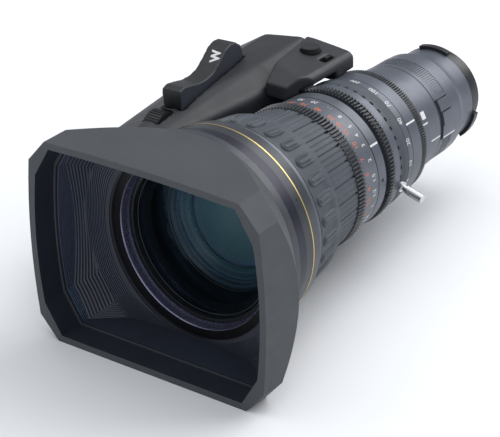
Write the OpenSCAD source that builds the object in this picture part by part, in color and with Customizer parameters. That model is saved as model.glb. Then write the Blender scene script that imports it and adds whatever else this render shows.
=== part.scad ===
// Broadcast zoom lens with a rectangular hood and a servo hand grip.
// The optical axis runs along Y. The front looks towards -Y, the top is +Z and the grip is on -X.
// The origin is the centre of the rear face of the bayonet flange.
// Stations along the axis are distances in front of that face, so a station s lies at y = -s.

/* [Bayonet mount] */
// Thickness of the bayonet flange
flange_t = 3; // [2.5:0.1:4]
// Diameter of the bayonet flange
flange_d = 46.8; // [46.2:0.1:48]
// Diameter over the bayonet ears
ear_d = 50; // [49:0.1:52]
// Angle that one bayonet ear covers
ear_span = 38; // [30:1:44]
// Diameter of the spigot that enters the camera
spigot_d = 41.9; // [41:0.1:42.4]
// Length of the spigot behind the flange
spigot_l = 6; // [4:0.5:9]
// Bore of the spigot
spigot_bore_d = 36; // [33:0.5:38]
// Diameter of the locating pin in the flange
locating_pin_d = 1.6; // [1.2:0.1:2]
// Height of the locating pin behind the flange
locating_pin_h = 1.6; // [1:0.1:3]
// Head diameter of the flange screws
mount_screw_d = 1.9; // [1.6:0.1:2]

/* [Lengths along the barrel] */
// Length of the smooth rear housing
rear_housing_l = 17.8; // [15:0.1:22]
// Length of the macro ring
macro_l = 15; // [14:0.1:18]
// Length of the fixed band in front of the macro ring
rear_band_l = 9.4; // [7:0.1:12]
// Length of the back focus ring
back_focus_l = 9; // [7:0.1:12]
// Length of the iris ring
iris_l = 5; // [4.5:0.1:8]
// Length of the fixed band that carries the zoom index
zoom_index_l = 7.4; // [6:0.1:10]
// Length of the zoom scale
zoom_scale_l = 4.6; // [4:0.1:8]
// Length of the zoom rubber
zoom_rubber_l = 8.2; // [6:0.1:12]
// Length of the plain band between the zoom rubber and the zoom gear
zoom_band_l = 4.6; // [3:0.1:8]
// Face width of the zoom gear
zoom_gear_l = 4; // [3:0.1:6]
// Length of the groove in front of the zoom gear
zoom_groove_l = 3.4; // [2:0.1:6]
// Length of the fixed band that carries the focus index
focus_index_l = 6; // [5:0.1:9]
// Length of the focus scale
focus_scale_l = 12; // [10:0.1:15]
// Face width of the focus gear
focus_gear_l = 6.2; // [4:0.1:8]
// Length of the narrow rear part of the focus rubber
focus_rear_grip_l = 21.8; // [18:0.1:26]
// Length of the padded front part of the focus rubber
focus_front_grip_l = 18.6; // [17:0.1:24]
// Length of the metal lip in front of the focus rubber
focus_lip_l = 4; // [3:0.1:6]
// Length of the front barrel
front_barrel_l = 31.5; // [28:0.1:36]

/* [Diameters along the barrel] */
// Diameter of the rear housing at the flange
rear_d = 46.6; // [46:0.1:48]
// Diameter of the macro ring
macro_d = 52.8; // [52:0.1:54]
// Diameter of the fixed band in front of the macro ring
rear_band_d = 53.4; // [53:0.1:55]
// Diameter of the back focus ring
back_focus_d = 55.6; // [55:0.1:57]
// Diameter of the band that carries the zoom index
zoom_index_d = 64; // [63:0.1:66]
// Diameter of the zoom scale
zoom_scale_d = 64.4; // [63.6:0.1:66]
// Diameter over the zoom rubber
zoom_rubber_d = 66.2; // [65.6:0.1:68]
// Diameter of the plain band on the zoom ring
zoom_band_d = 67.4; // [67:0.1:68]
// Diameter of the groove in front of the zoom gear
zoom_groove_d = 61; // [60:0.1:62]
// Diameter of the band that carries the focus index
focus_index_d = 67.8; // [66:0.1:69]
// Diameter of the focus scale at its rear
focus_scale_rear_d = 68; // [67:0.1:69]
// Diameter of the focus scale at its front
focus_scale_front_d = 69.6; // [69:0.1:70.4]
// Diameter of the focus rubber at its rear
focus_grip_rear_d = 70.6; // [69.8:0.1:72.3]
// Diameter at the front of the ribbed part of the focus rubber
focus_grip_mid_d = 74.4; // [73:0.1:76]
// Diameter at the rear of the padded part of the focus rubber
focus_pad_rear_d = 80.6; // [79.6:0.1:82.1]
// Diameter at the front of the padded part of the focus rubber
focus_pad_front_d = 86.4; // [85.4:0.1:88]
// Diameter of the metal lip in front of the focus rubber
focus_lip_d = 89; // [88.4:0.1:89.6]
// Diameter of the front barrel at its rear
front_rear_d = 92.8; // [92.2:0.1:94]
// Diameter of the front barrel where the hood clamps
front_d = 95; // [94.4:0.1:96]
// Diameter of the front filter thread
filter_d = 82; // [80:0.1:84]
// Depth of the front filter thread
filter_l = 5; // [4:0.1:7]

/* [Bores and walls] */
// Bore of the focus ring
focus_bore_d = 62.5; // [61.5:0.1:63]
// Bore of the zoom ring
zoom_bore_d = 58.6; // [58:0.1:59.2]
// Bore of the iris ring
iris_bore_d = 54.4; // [54:0.1:55]
// Bore of the back focus ring
back_focus_bore_d = 51; // [50.6:0.1:51.4]
// Bore of the macro ring
macro_bore_d = 48; // [47.4:0.1:48.4]
// Bore of the macro index ring
macro_index_bore_d = 49.2; // [48.8:0.1:50]
// Bore of the zoom index ring
zoom_index_bore_d = 56; // [55.2:0.1:57]
// Bore of the rear housing
rear_bore_d = 41; // [40.4:0.1:42]
// Bore of the main tube in the rear housing
tube_rear_bore_d = 37.8; // [37:0.1:38.4]
// Bore of the main tube round the relay cell
relay_bore_d = 44.8; // [44:0.1:45.4]
// Bore of the main tube round the cam tube
cam_bore_d = 51.6; // [51:0.1:52.2]
// Bore of the main tube round the focus cell
focus_cell_bore_d = 58; // [57:0.1:59]
// Bore of the wide front of the focus ring
focus_wide_bore_d = 74.8; // [73:0.1:76]
// Wall of the main tube at its wide front
tube_front_wall = 2.2; // [1.6:0.1:2.6]
// Radial running clearance of rings, shafts and cells
run_c = 0.05; // [0.02:0.01:0.08]
// Axial gap between neighbouring rings
ring_gap = 0.3; // [0.2:0.05:0.5]
// Radial clearance of pieces that are seated for good
seat_c = 0.02; // [0.01:0.01:0.04]

/* [Gears] */
// Module of the focus and zoom gears
coarse_module = 0.6; // [0.58:0.01:0.62]
// Teeth of the focus gear
focus_teeth = 118; // [116:1:118]
// Teeth of the zoom gear
zoom_teeth = 113; // [112:1:114]
// Module of the iris gear
fine_module = 0.4; // [0.39:0.005:0.41]
// Teeth of the iris gear
iris_teeth = 156; // [154:1:157]
// Teeth of the gear that drives the zoom ring
zoom_drive_teeth = 40; // [38:1:41]
// Teeth of the gear that drives the iris ring
iris_drive_teeth = 66; // [65:1:68]
// Radial backlash where a drive gear meets its ring
mesh_gap = 0.15; // [0.1:0.05:0.3]
// Direction of the zoom drive gear, seen from the front
zoom_drive_at = 165; // [162:1:168]
// Direction of the iris drive gear, seen from the front
iris_drive_at = 200; // [198:1:203]

/* [Hood] */
// Width of the hood between its side faces at the corners
hood_w = 125; // [118:0.5:130]
// Height of the hood between its top and bottom faces at the corners
hood_h = 98.8; // [96:0.2:103]
// How far the side faces bow outwards
hood_side_bow = 2.3; // [1:0.1:3]
// How far the top face bows outwards
hood_top_bow = 1.2; // [0.6:0.1:2]
// Width of the corner facets
hood_corner_w = 9.8; // [8:0.1:12]
// Height of the corner facets
hood_corner_h = 11; // [9:0.1:13]
// Thickness of the hood's rim
hood_wall = 3.2; // [2.4:0.1:4]
// Depth of the hood along the axis
hood_depth = 40.7; // [38:0.1:44]
// Depth of the smooth lip inside the rim
hood_lip_l = 12.5; // [10:0.1:14]
// Step from the smooth lip in to the ribbed walls
hood_step = 1; // [0.6:0.1:1.6]
// Radius of the hood's turned back at its rear edge
hood_rear_r = 50.2; // [50:0.1:50.8]
// Angle between the hood's turned back and the axis
hood_back_angle = 40; // [38:0.5:42]
// Wall of the hood's turned back
hood_back_wall = 2.4; // [2:0.1:3]
// Diameter of the round throat inside the hood
hood_throat_d = 90; // [88:0.1:92]
// Depth of the shallow funnel round the throat
hood_funnel_l = 4; // [3:0.1:5]
// Diameter of the shallow funnel round the throat
hood_funnel_d = 124; // [120:1:130]
// How far the hood reaches back over the front barrel
hood_overlap = 7.7; // [7:0.1:9]
// Width of the clamp band behind the hood
clamp_band_l = 4.4; // [3.5:0.1:5.5]
// Wall of the clamp ring inside the hood
clamp_wall = 1.3; // [1:0.1:1.4]
// Wall of the clamp band behind the hood
clamp_band_wall = 2; // [1.8:0.1:2.2]
// Width of the slit in the clamp ring
clamp_slit = 1.4; // [1:0.1:2]
// Direction of the slit, seen from the front
clamp_at = 208; // [200:1:216]
// Head diameter of the clamp screw
clamp_screw_d = 6; // [5:0.1:6.4]

/* [Focus rubber] */
// Number of raised pads round the focus rubber
pad_count = 28; // [24:1:32]
// Length of one raised pad
pad_l = 14; // [11:0.1:15]
// Width of one raised pad
pad_w = 5; // [4:0.1:5.6]
// Height of one raised pad above the rubber
pad_h = 1; // [0.6:0.1:1.4]
// Width of one groove in the ribbed part of the focus rubber
rib_groove_w = 0.9; // [0.6:0.05:1.2]
// Depth of one groove
rib_groove_h = 0.7; // [0.4:0.05:0.9]
// Thickness of the focus rubber at its thinnest
rubber_t = 1.8; // [1.6:0.1:2.2]

/* [Zoom and macro details] */
// Number of notches in the zoom rubber
zoom_notch_count = 42; // [36:1:48]
// Width of one notch in the zoom rubber
zoom_notch_w = 1.8; // [1.2:0.1:2.4]
// Diameter of the zoom lever's shaft
lever_d = 3; // [2.4:0.1:3.6]
// Diameter of the zoom lever's knob
lever_knob_d = 4.4; // [4:0.1:5]
// Length of the zoom lever beyond the zoom ring
lever_l = 13.5; // [11:0.1:17]
// Direction of the zoom lever, seen from the front
lever_at = -16; // [-20:1:-10]
// Number of fine ribs on the macro ring
macro_rib_count = 118; // [100:1:130]
// Length of the fine ribs on the macro ring
macro_rib_l = 8; // [6:0.1:9]
// Width of the slot in front of the macro button
macro_slot_l = 2.6; // [2:0.1:3]
// Length of the macro button along the axis
macro_button_l = 7; // [6:0.1:7.5]
// Width of the macro button round the ring
macro_button_w = 6.4; // [5:0.1:7]

/* [Hand grip] */
// Station of the grip's rear face
grip_rear_s = 54; // [53.5:0.1:54.4]
// Length of the grip
grip_l = 115; // [112:0.5:116]
// Reach of the grip from the optical axis
grip_reach = 97; // [94:0.5:102]
// Distance of the grip's near edge from the optical axis
grip_near_x = 26.5; // [25:0.5:28]
// Height of the grip's top above the optical axis
grip_top = 41; // [40:0.1:42.5]
// Radius of the grip's edges
grip_edge_r = 5; // [4.6:0.1:5.6]
// Wall of the grip
grip_wall = 2.4; // [2:0.1:2.8]
// Gap between the grip and the rings that turn beside it
grip_gap = 0.8; // [0.5:0.1:1]
// Thickness of the grip's base cover
base_t = 2.6; // [2:0.1:3.4]
// Length of the control panel over the barrel
panel_l = 45; // [42:0.5:46]
// Reach of the control panel's near edge from the optical axis
panel_near_x = 11; // [10:0.5:14]
// Radius of the control panel's edges
panel_edge_r = 2; // [1.4:0.1:2.4]
// Length of the zoom rocker
rocker_l = 55; // [50:0.5:56]
// Width of the zoom rocker
rocker_w = 10; // [9:0.5:11]
// Height of the rocker's rear hump above the grip
rocker_h = 11; // [9:0.5:12]
// Distance of the rocker's middle from the optical axis
rocker_x = 55.5; // [54:0.5:57]
// Station of the rocker's middle
rocker_s = 112.5; // [111:0.5:114]
// Diameter of the rocker's pivot pin
rocker_pin_d = 3; // [2.4:0.1:3.4]
// Diameter of the return button
return_button_d = 9; // [8:0.1:10]
// Diameter of the record button
record_button_d = 7; // [6:0.1:8]
// Travel of the push buttons
button_travel = 1.2; // [0.8:0.1:1.4]
// Diameter of the speed dial
dial_d = 17; // [16:0.5:18]
// Width of the speed dial
dial_w = 8; // [7:0.5:9]
// Diameter of the zoom motor
zoom_motor_d = 15; // [13:0.5:16]
// Diameter of the iris motor
iris_motor_d = 12.6; // [11:0.1:13]
// Diameter of the motor shafts
motor_shaft_d = 3; // [2.4:0.1:3.4]
// Diameter of the cable gland
gland_d = 11; // [9:0.5:12]

/* [Optics] */
// Diameter of the front element
front_element_d = 78; // [76:0.5:79]
// Diameter of the focus element
focus_element_d = 52; // [48:0.5:53]
// Diameter of the variator element
variator_d = 42; // [38:0.5:43]
// Diameter of the compensator element
compensator_d = 38; // [36:0.5:40]
// Diameter of the relay element
relay_d = 32; // [30:0.5:34]
// Travel of the focus cell either way
focus_travel = 3; // [2:0.1:3.5]
// Travel of the variator cell either way
variator_travel = 16; // [10:0.5:18]
// Travel of the compensator cell either way
compensator_travel = 4; // [2:0.1:4.5]
// Number of iris blades
blade_count = 6; // [6:1:6]
// Thickness of one iris blade
blade_t = 0.2; // [0.15:0.05:0.25]

/* [Hidden] */
// Overrun of every cut
cut = 1;
// Facets of turned faces and of small round pieces
fine = 180;
small = 48;
// Facets of the balls that round the grip
soft = 24;

// Stations of the sections, from the flange forwards
rear_s = flange_t;
macro_s = rear_s + rear_housing_l + ring_gap;
rear_band_s = macro_s + macro_l + ring_gap;
back_focus_s = rear_band_s + rear_band_l + ring_gap;
iris_s = back_focus_s + back_focus_l + ring_gap;
zoom_index_s = iris_s + iris_l + ring_gap;
zoom_s = zoom_index_s + zoom_index_l + ring_gap;
zoom_rubber_s = zoom_s + zoom_scale_l;
zoom_band_s = zoom_rubber_s + zoom_rubber_l;
zoom_gear_s = zoom_band_s + zoom_band_l;
zoom_front_s = zoom_gear_s + zoom_gear_l;
focus_index_s = zoom_front_s + zoom_groove_l;
focus_s = focus_index_s + focus_index_l + ring_gap;
focus_gear_s = focus_s + focus_scale_l;
focus_rear_grip_s = focus_gear_s + focus_gear_l;
focus_front_grip_s = focus_rear_grip_s + focus_rear_grip_l;
focus_lip_s = focus_front_grip_s + focus_front_grip_l;
focus_front_s = focus_lip_s + focus_lip_l;
barrel_s = focus_front_s + ring_gap;
barrel_front_s = barrel_s + front_barrel_l;
hood_s = barrel_front_s - hood_overlap;
hood_front_s = hood_s + hood_depth;
clamp_s = hood_s - clamp_band_l - ring_gap;

// Radii that neighbouring pieces share
cam_wall = 1.4;
index_r = zoom_index_d / 2;
focus_index_r = focus_index_d / 2;
groove_r = zoom_groove_d / 2;
zoom_core_r = zoom_scale_d / 2 - rubber_t / 2;
cell_r = cam_bore_d / 2 - run_c - cam_wall - run_c;
clamp_in_r = front_d / 2 + seat_c;
clamp_out_r = clamp_in_r + clamp_wall;

// Small sizes of the rings
trim_w = 1;
trim_t = 0.6;
flare_l = 2;
step_l = 5;
spoke_over = 0.4;

// Frame of a turned shape: points are [radius, station]
module turned(points) {
    rotate([90, 0, 0])
        rotate_extrude($fn = fine)
            polygon(points);
}

module ring(r_in, r_out, s0, s1) {
    turned([[r_in, s0], [r_out, s0], [r_out, s1], [r_in, s1]]);
}

// Part of a ring between two directions, seen from the front
module sector(r_in, r_out, s0, s1, a0, a1) {
    rotate([90, 0, 0])
        rotate([0, 0, a0])
            rotate_extrude(angle = a1 - a0, $fn = fine)
                polygon([[r_in, s0], [r_out, s0], [r_out, s1], [r_in, s1]]);
}

module at_angle(a) {
    rotate([0, -a, 0])
        children();
}

module along(s) {
    rotate([90, 0, 0])
        translate([0, 0, s])
            children();
}

// Round piece that points away from the axis
module spoke(a, s, r0, r1, d) {
    at_angle(a)
        translate([r0, -s, 0])
            rotate([0, 90, 0])
                cylinder(d = d, h = r1 - r0, $fn = small);
}

// Round piece parallel to the axis, at a place seen from the front
module rod(x, z, s0, s1, d) {
    translate([x, -s0, z])
        rotate([90, 0, 0])
            cylinder(d = d, h = s1 - s0, $fn = small);
}

// Gear teeth, with shares of the module for their height and thickness
dedendum_share = 1.25;
tip_half_share = 0.4;
root_half_share = 1.12;

function degrees_of(arc, r) = arc / r * 180 / PI;

function polar(r, a) = [r * cos(a), r * sin(a)];

// Square ribs of a height, counted over a sweep of degrees
rib_half_share = 0.5;

function ribs(r, h, count, a0, sweep) = [
    for (i = [0:count - 1]) for (c = [[0, 0], [0, rib_half_share], [h, rib_half_share], [h, 1]])
        polar(r - c[0], a0 + (i + c[1]) * sweep / count)
];

function gear_r(teeth, m) = teeth * m / 2;

function gear_points(teeth, m) = let (
    tip = gear_r(teeth, m) + m,
    root = gear_r(teeth, m) - dedendum_share * m,
    tip_a = degrees_of(tip_half_share * m, tip),
    root_a = degrees_of(root_half_share * m, root)
) [for (i = [0:teeth - 1]) for (c = [[root, -root_a], [tip, -tip_a], [tip, tip_a], [root, root_a]])
    polar(c[0], i * 360 / teeth + c[1])];

module gear(teeth, m, s0, s1, bore, turn) {
    along(s0)
        linear_extrude(s1 - s0)
            difference() {
                rotate(turn)
                    polygon(gear_points(teeth, m));
                circle(bore, $fn = fine);
            }
}

// Hood
hood_z = hood_h / 2;
back_shift = hood_back_wall / sin(hood_back_angle);
hood_floor_t = 1.2;
throat_s = barrel_front_s + hood_floor_t;
hood_inner_corner_w_share = 0.9;
hood_inner_corner_h_share = 1.3;
bow_steps = [-1:0.25:1];

function bowed(half, bow, t) = half + bow * (1 - t * t);

// Outline seen from the front, with bowed sides and top and a flat base
function hood_outline(inset, cw, ch) = let (w = hood_w / 2 - inset, h = hood_z - inset) concat(
    [for (t = bow_steps) [bowed(w, hood_side_bow, t), t * (h - ch)]],
    [for (t = bow_steps) [-t * (w - cw), bowed(h, hood_top_bow, t)]],
    [for (t = bow_steps) [-bowed(w, hood_side_bow, t), -t * (h - ch)]],
    [[-(w - cw), -h], [w - cw, -h]]);

module hood_prism(inset, cw, ch, s0, s1) {
    along(s0)
        linear_extrude(s1 - s0)
            polygon(hood_outline(inset, cw, ch));
}

// Cone along the hood's back, moved forwards by a distance
module hood_cone(shift) {
    s0 = hood_s + shift;
    top = hood_front_s + cut;
    turned([[0, s0], [hood_rear_r, s0], [hood_rear_r + (top - s0) * tan(hood_back_angle), top],
        [0, top]]);
}

module lens_hood() {
    inner_cw = hood_corner_w * hood_inner_corner_w_share;
    inner_ch = hood_corner_h * hood_inner_corner_h_share;
    color("dimgray")
        difference() {
            intersection() {
                hood_prism(0, hood_corner_w, hood_corner_h, hood_s, hood_front_s);
                hood_cone(0);
            }
            intersection() {
                hood_prism(hood_wall, inner_cw, inner_ch, hood_front_s - hood_lip_l, hood_front_s + cut);
                hood_cone(back_shift);
            }
            intersection() {
                hood_prism(hood_wall + hood_step, inner_cw, inner_ch, hood_s, hood_front_s);
                hood_cone(back_shift);
                turned([[0, throat_s], [hood_throat_d / 2, throat_s],
                    [hood_funnel_d / 2, throat_s + hood_funnel_l], [hood_w, throat_s + hood_funnel_l],
                    [hood_w, hood_front_s], [0, hood_front_s]]);
            }
            ring(0, clamp_out_r + seat_c, hood_s - cut, barrel_front_s + seat_c);
            ring(0, hood_throat_d / 2, hood_s, hood_front_s);
        }
}

// Clamp ring behind the hood, with a slit, two lugs and a screw
clamp_band_s = hood_s - ring_gap;
lug_t = 4;
lug_h = 8;
clamp_shank_d = 2.5;
clamp_head_t = 4;
clamp_thread_l = 1;

module clamp_lugs() {
    for (side = [-1, 1])
        at_angle(clamp_at)
            translate([clamp_in_r, -clamp_band_s, side > 0 ? clamp_slit / 2 : -clamp_slit / 2 - lug_t])
                cube([clamp_band_wall + lug_h, clamp_band_l, lug_t]);
}

module clamp_shank(d, z0, z1) {
    at_angle(clamp_at)
        translate([clamp_in_r + clamp_band_wall + lug_h / 2, -clamp_band_s + clamp_band_l / 2, z0])
            cylinder(d = d, h = z1 - z0, $fn = small);
}

module hood_clamp_ring() {
    slit_a = degrees_of(clamp_slit / 2, clamp_in_r);
    color("silver")
        difference() {
            union() {
                ring(clamp_in_r, clamp_in_r + clamp_band_wall, clamp_s, clamp_band_s);
                ring(clamp_in_r, clamp_out_r, clamp_band_s - seat_c, barrel_front_s);
                clamp_lugs();
            }
            ring(0, clamp_in_r, clamp_s - cut, hood_front_s);
            sector(front_d / 2 - cut, clamp_out_r + clamp_band_wall, clamp_s - cut, hood_front_s,
                clamp_at - slit_a, clamp_at + slit_a);
            clamp_shank(clamp_shank_d + 2 * run_c, -clamp_slit / 2 - lug_t - cut,
                clamp_slit / 2 + lug_t + cut);
        }
}

module hood_clamp_screw() {
    outer = clamp_slit / 2 + lug_t;
    color("black")
        union() {
            clamp_shank(clamp_shank_d, -outer - clamp_thread_l, outer + run_c + clamp_head_t / 2);
            clamp_shank(clamp_screw_d, outer + run_c, outer + run_c + clamp_head_t);
        }
}

// Front barrel with its filter thread, trim ring, retainer and front element
element_rim_l = 6;
retainer_l = 2.5;
retainer_lip = 1.2;
spigot_seat_l = 5;
shoulder_l = 2;
relief_wall = 4.5;
trim_s = barrel_s + element_rim_l;
thread_s = barrel_front_s - filter_l;
element_s = thread_s - retainer_l - element_rim_l;
bulge_gap = 0.2;
element_bulge = retainer_l - bulge_gap;
thread_runout = 0.3;
retainer_drop = 1;
retainer_r = filter_d / 2 - retainer_drop;
element_hollow = 2;
front_wide_r = focus_wide_bore_d / 2;

module front_barrel() {
    seat_r = front_wide_r - run_c + seat_c;
    element_r = front_element_d / 2 + seat_c;
    color("slategray")
        turned([[seat_r, barrel_s], [front_rear_d / 2, barrel_s], [front_d / 2 - trim_t / 2, trim_s],
            [front_d / 2 - trim_t, trim_s], [front_d / 2 - trim_t, trim_s + trim_w],
            [front_d / 2, trim_s + trim_w], [front_d / 2, barrel_front_s],
            [filter_d / 2, barrel_front_s], [filter_d / 2, thread_s],
            [filter_d / 2 + thread_runout, thread_s],
            [filter_d / 2 + thread_runout, thread_s - thread_runout],
            [retainer_r, thread_s - thread_runout], [retainer_r, thread_s - retainer_l],
            [element_r, thread_s - retainer_l], [element_r, element_s],
            [element_r - step_l, element_s], [element_r - step_l, element_s - shoulder_l],
            [front_d / 2 - relief_wall, element_s - shoulder_l],
            [front_d / 2 - relief_wall, barrel_s + spigot_seat_l + shoulder_l],
            [element_r - step_l, barrel_s + spigot_seat_l + shoulder_l],
            [element_r - step_l, barrel_s + spigot_seat_l], [seat_r, barrel_s + spigot_seat_l]]);
}

module gold_trim_ring() {
    color("gold")
        ring(front_d / 2 - trim_t + seat_c, front_d / 2, trim_s + seat_c, trim_s + trim_w - seat_c);
}

module front_retainer() {
    color("black")
        ring(front_element_d / 2 - retainer_lip, retainer_r - seat_c, thread_s - retainer_l + seat_c,
            thread_s - thread_runout);
}

// Lens element with a rim, a front that bulges and a rear that is hollowed or bulges
lens_steps = [0:0.125:1];
lens_land = 2;

module element(r, s0, s1, front_bulge, rear_bulge) {
    dome = r - lens_land;
    turned(concat(
        [for (t = lens_steps) [dome * t, s0 - rear_bulge * (1 - t * t)]],
        [[r, s0], [r, s1]],
        [for (t = lens_steps) [dome * (1 - t), s1 + front_bulge * t * (2 - t)]]));
}

module front_element() {
    color("lightblue")
        element(front_element_d / 2, element_s + seat_c, element_s + element_rim_l, element_bulge,
            -element_hollow);
}

// Focus ring: a sleeve, its rubber and its gear
rubber_s = focus_rear_grip_s;
grip_core_rear_r = focus_grip_rear_d / 2 - rubber_t;
grip_core_front_r = focus_pad_front_d / 2 - rubber_t;
ribbed_core_t = 1.28;
padded_core_t = 2.48;
ribbed_core_r = focus_grip_mid_d / 2 - ribbed_core_t;
padded_core_r = focus_pad_rear_d / 2 - padded_core_t;
gear_seat = 1.4;
focus_gear_r = gear_r(focus_teeth, coarse_module) - dedendum_share * coarse_module - gear_seat;
sleeve_flare_s = focus_front_grip_s + focus_front_grip_l / 2;
pad_front_gap = 3;
pad_s = focus_lip_s - pad_front_gap - pad_l;

module focus_sleeve() {
    color("slategray")
            turned([[focus_bore_d / 2, focus_s], [focus_scale_rear_d / 2, focus_s],
                [focus_scale_front_d / 2, focus_gear_s], [focus_gear_r, focus_gear_s],
                [focus_gear_r, rubber_s], [grip_core_rear_r, rubber_s],
                [ribbed_core_r, focus_front_grip_s - rubber_t],
                [min(ribbed_core_r, padded_core_r), focus_front_grip_s],
                [padded_core_r, focus_front_grip_s + rubber_t], [grip_core_front_r, focus_lip_s],
                [focus_lip_d / 2, focus_lip_s], [focus_lip_d / 2, focus_front_s],
                [focus_wide_bore_d / 2, focus_front_s], [focus_wide_bore_d / 2, sleeve_flare_s + flare_l],
                [focus_bore_d / 2, focus_front_grip_s]]);
}

// Raised pad with a rounded front end, standing on the cone of the padded rubber
pad_slope = atan((focus_pad_front_d - focus_pad_rear_d) / 2 / focus_front_grip_l);
pad_rear_r = focus_pad_rear_d / 2 + (focus_pad_front_d - focus_pad_rear_d) / 2
    * (pad_s - focus_front_grip_s) / focus_front_grip_l;
pad_sink = 1;

module pad() {
    translate([pad_rear_r, -pad_s, 0])
        rotate([0, 0, pad_slope])
            translate([-pad_sink, 0, 0]) {
                translate([0, -(pad_l - pad_w / 2), -pad_w / 2])
                    cube([pad_sink + pad_h, pad_l - pad_w / 2, pad_w]);
                translate([0, -(pad_l - pad_w / 2), 0])
                    rotate([0, 90, 0])
                        cylinder(d = pad_w, h = pad_sink + pad_h, $fn = small);
            }
}

rib_slope = atan((focus_grip_mid_d - focus_grip_rear_d) / 2 / focus_rear_grip_l);

module rib_groove() {
    translate([focus_grip_rear_d / 2 - rib_groove_h, -rubber_s + cut, -rib_groove_w / 2])
        rotate([0, 0, rib_slope])
            translate([0, -focus_rear_grip_l - cut, 0])
                cube([pad_sink + rib_groove_h, focus_rear_grip_l + cut, rib_groove_w]);
}

module focus_rubber() {
    pitch = 360 / pad_count;
    color("dimgray")
        difference() {
            union() {
                turned([[grip_core_rear_r + seat_c, rubber_s + seat_c],
                    [focus_grip_rear_d / 2, rubber_s + seat_c],
                    [focus_grip_mid_d / 2, focus_front_grip_s],
                    [focus_pad_rear_d / 2, focus_front_grip_s],
                    [focus_pad_front_d / 2, focus_lip_s], [grip_core_front_r + seat_c, focus_lip_s],
                    [padded_core_r + seat_c, focus_front_grip_s + rubber_t],
                    [min(ribbed_core_r, padded_core_r) + seat_c, focus_front_grip_s],
                    [ribbed_core_r + seat_c, focus_front_grip_s - rubber_t]]);
                for (i = [0:pad_count - 1])
                    at_angle(i * pitch + pad_phase)
                        pad();
            }
            for (i = [0:pad_count - 1])
                at_angle((i + rib_half_share) * pitch + pad_phase)
                    rib_groove();
        }
}
pad_phase = 8.5;

module focus_gear() {
    color("gray")
        gear(focus_teeth, coarse_module, focus_gear_s + seat_c, rubber_s, focus_gear_r + seat_c, 0);
}

// Focus cell and its element, which slide in the main tube
focus_cell_l = 12;
focus_cell_gap = 1;
focus_cell_s = sleeve_flare_s - focus_travel - focus_cell_l - focus_cell_gap;

module focus_cell() {
    r = focus_cell_bore_d / 2 - run_c;
    color("black")
        turned([[focus_element_d / 2 + seat_c, focus_cell_s + shoulder_l],
            [focus_element_d / 2 + seat_c, focus_cell_s + focus_cell_l],
            [r, focus_cell_s + focus_cell_l], [r, focus_cell_s],
            [focus_element_d / 2 - shoulder_l, focus_cell_s],
            [focus_element_d / 2 - shoulder_l, focus_cell_s + shoulder_l]]);
}

module focus_element() {
    color("lightblue")
        element(focus_element_d / 2, focus_cell_s + shoulder_l + seat_c,
            focus_cell_s + focus_cell_l - shoulder_l,
            -shoulder_l, -shoulder_l);
}

// Main tube: every ring turns on it, and the cells slide in it
iris_floor_t = 0.8;
zoom_sweep = 84;
zoom_pin_d = 2.4;
zoom_pin_at = 150;
zoom_pin_s = zoom_band_s + zoom_band_l / 2;
cam_front_s = focus_cell_s - focus_travel - focus_cell_gap;
iris_seat_s = iris_s - ring_gap / 2 + iris_floor_t;

module main_tube() {
    half_gap = ring_gap / 2;
    wide_r = front_wide_r - run_c;
    wide_s = sleeve_flare_s + 2 * flare_l;
    slot_a = zoom_sweep / 2 + degrees_of(zoom_pin_d, cam_bore_d / 2);
    color("gray")
        difference() {
            turned([[relay_bore_d / 2, iris_s - half_gap], [iris_bore_d / 2 - run_c, iris_s - half_gap],
                [iris_bore_d / 2 - run_c, zoom_index_s - half_gap],
                [zoom_index_bore_d / 2 - seat_c, zoom_index_s - half_gap],
                [zoom_index_bore_d / 2 - seat_c, zoom_index_s + zoom_index_l],
                [zoom_bore_d / 2 - run_c, zoom_index_s + zoom_index_l],
                [zoom_bore_d / 2 - run_c, zoom_front_s + ring_gap],
                [groove_r - seat_c, zoom_front_s + ring_gap],
                [groove_r - seat_c, focus_index_s + focus_index_l],
                [focus_bore_d / 2 - run_c, focus_index_s + focus_index_l],
                [focus_bore_d / 2 - run_c, wide_s - flare_l],
                [wide_r, wide_s], [wide_r, barrel_s + spigot_seat_l],
                [wide_r - tube_front_wall, barrel_s + spigot_seat_l],
                [wide_r - tube_front_wall, wide_s + flare_l],
                [focus_cell_bore_d / 2, wide_s], [focus_cell_bore_d / 2, cam_front_s],
                [cam_bore_d / 2, cam_front_s], [cam_bore_d / 2, iris_seat_s],
                [relay_bore_d / 2, iris_seat_s]]);
            sector(cam_bore_d / 2 - cut, zoom_bore_d / 2 + cut,
                zoom_pin_s - zoom_pin_d / 2 - run_c, zoom_pin_s + zoom_pin_d / 2 + run_c,
                zoom_pin_at - slot_a, zoom_pin_at + slot_a);
        }
}

// Relay tube behind the main tube: the macro ring and the back focus ring turn on it
module relay_tube() {
    front_s = iris_s - ring_gap / 2 - seat_c;
    band_s = rear_band_s - ring_gap / 2;
    color("gray")
        turned([[tube_rear_bore_d / 2, rear_s], [rear_bore_d / 2 - seat_c, rear_s],
            [rear_bore_d / 2 - seat_c, macro_s - ring_gap],
            [macro_bore_d / 2 - run_c, macro_s - ring_gap], [macro_bore_d / 2 - run_c, band_s],
            [macro_index_bore_d / 2 - seat_c, band_s],
            [macro_index_bore_d / 2 - seat_c, rear_band_s + rear_band_l],
            [back_focus_bore_d / 2 - run_c, rear_band_s + rear_band_l],
            [back_focus_bore_d / 2 - run_c, front_s], [relay_bore_d / 2, front_s],
            [relay_bore_d / 2, macro_s], [tube_rear_bore_d / 2, macro_s]]);
}

// Radial hole for a set screw, sunk into a ring's outside
set_screw_d = 1.8;
set_screw_h = 0.8;

module set_screw_hole(a, s, r) {
    spoke(a, s, r - set_screw_h, r + cut, set_screw_d);
}

focus_screw_at = 1;

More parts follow.
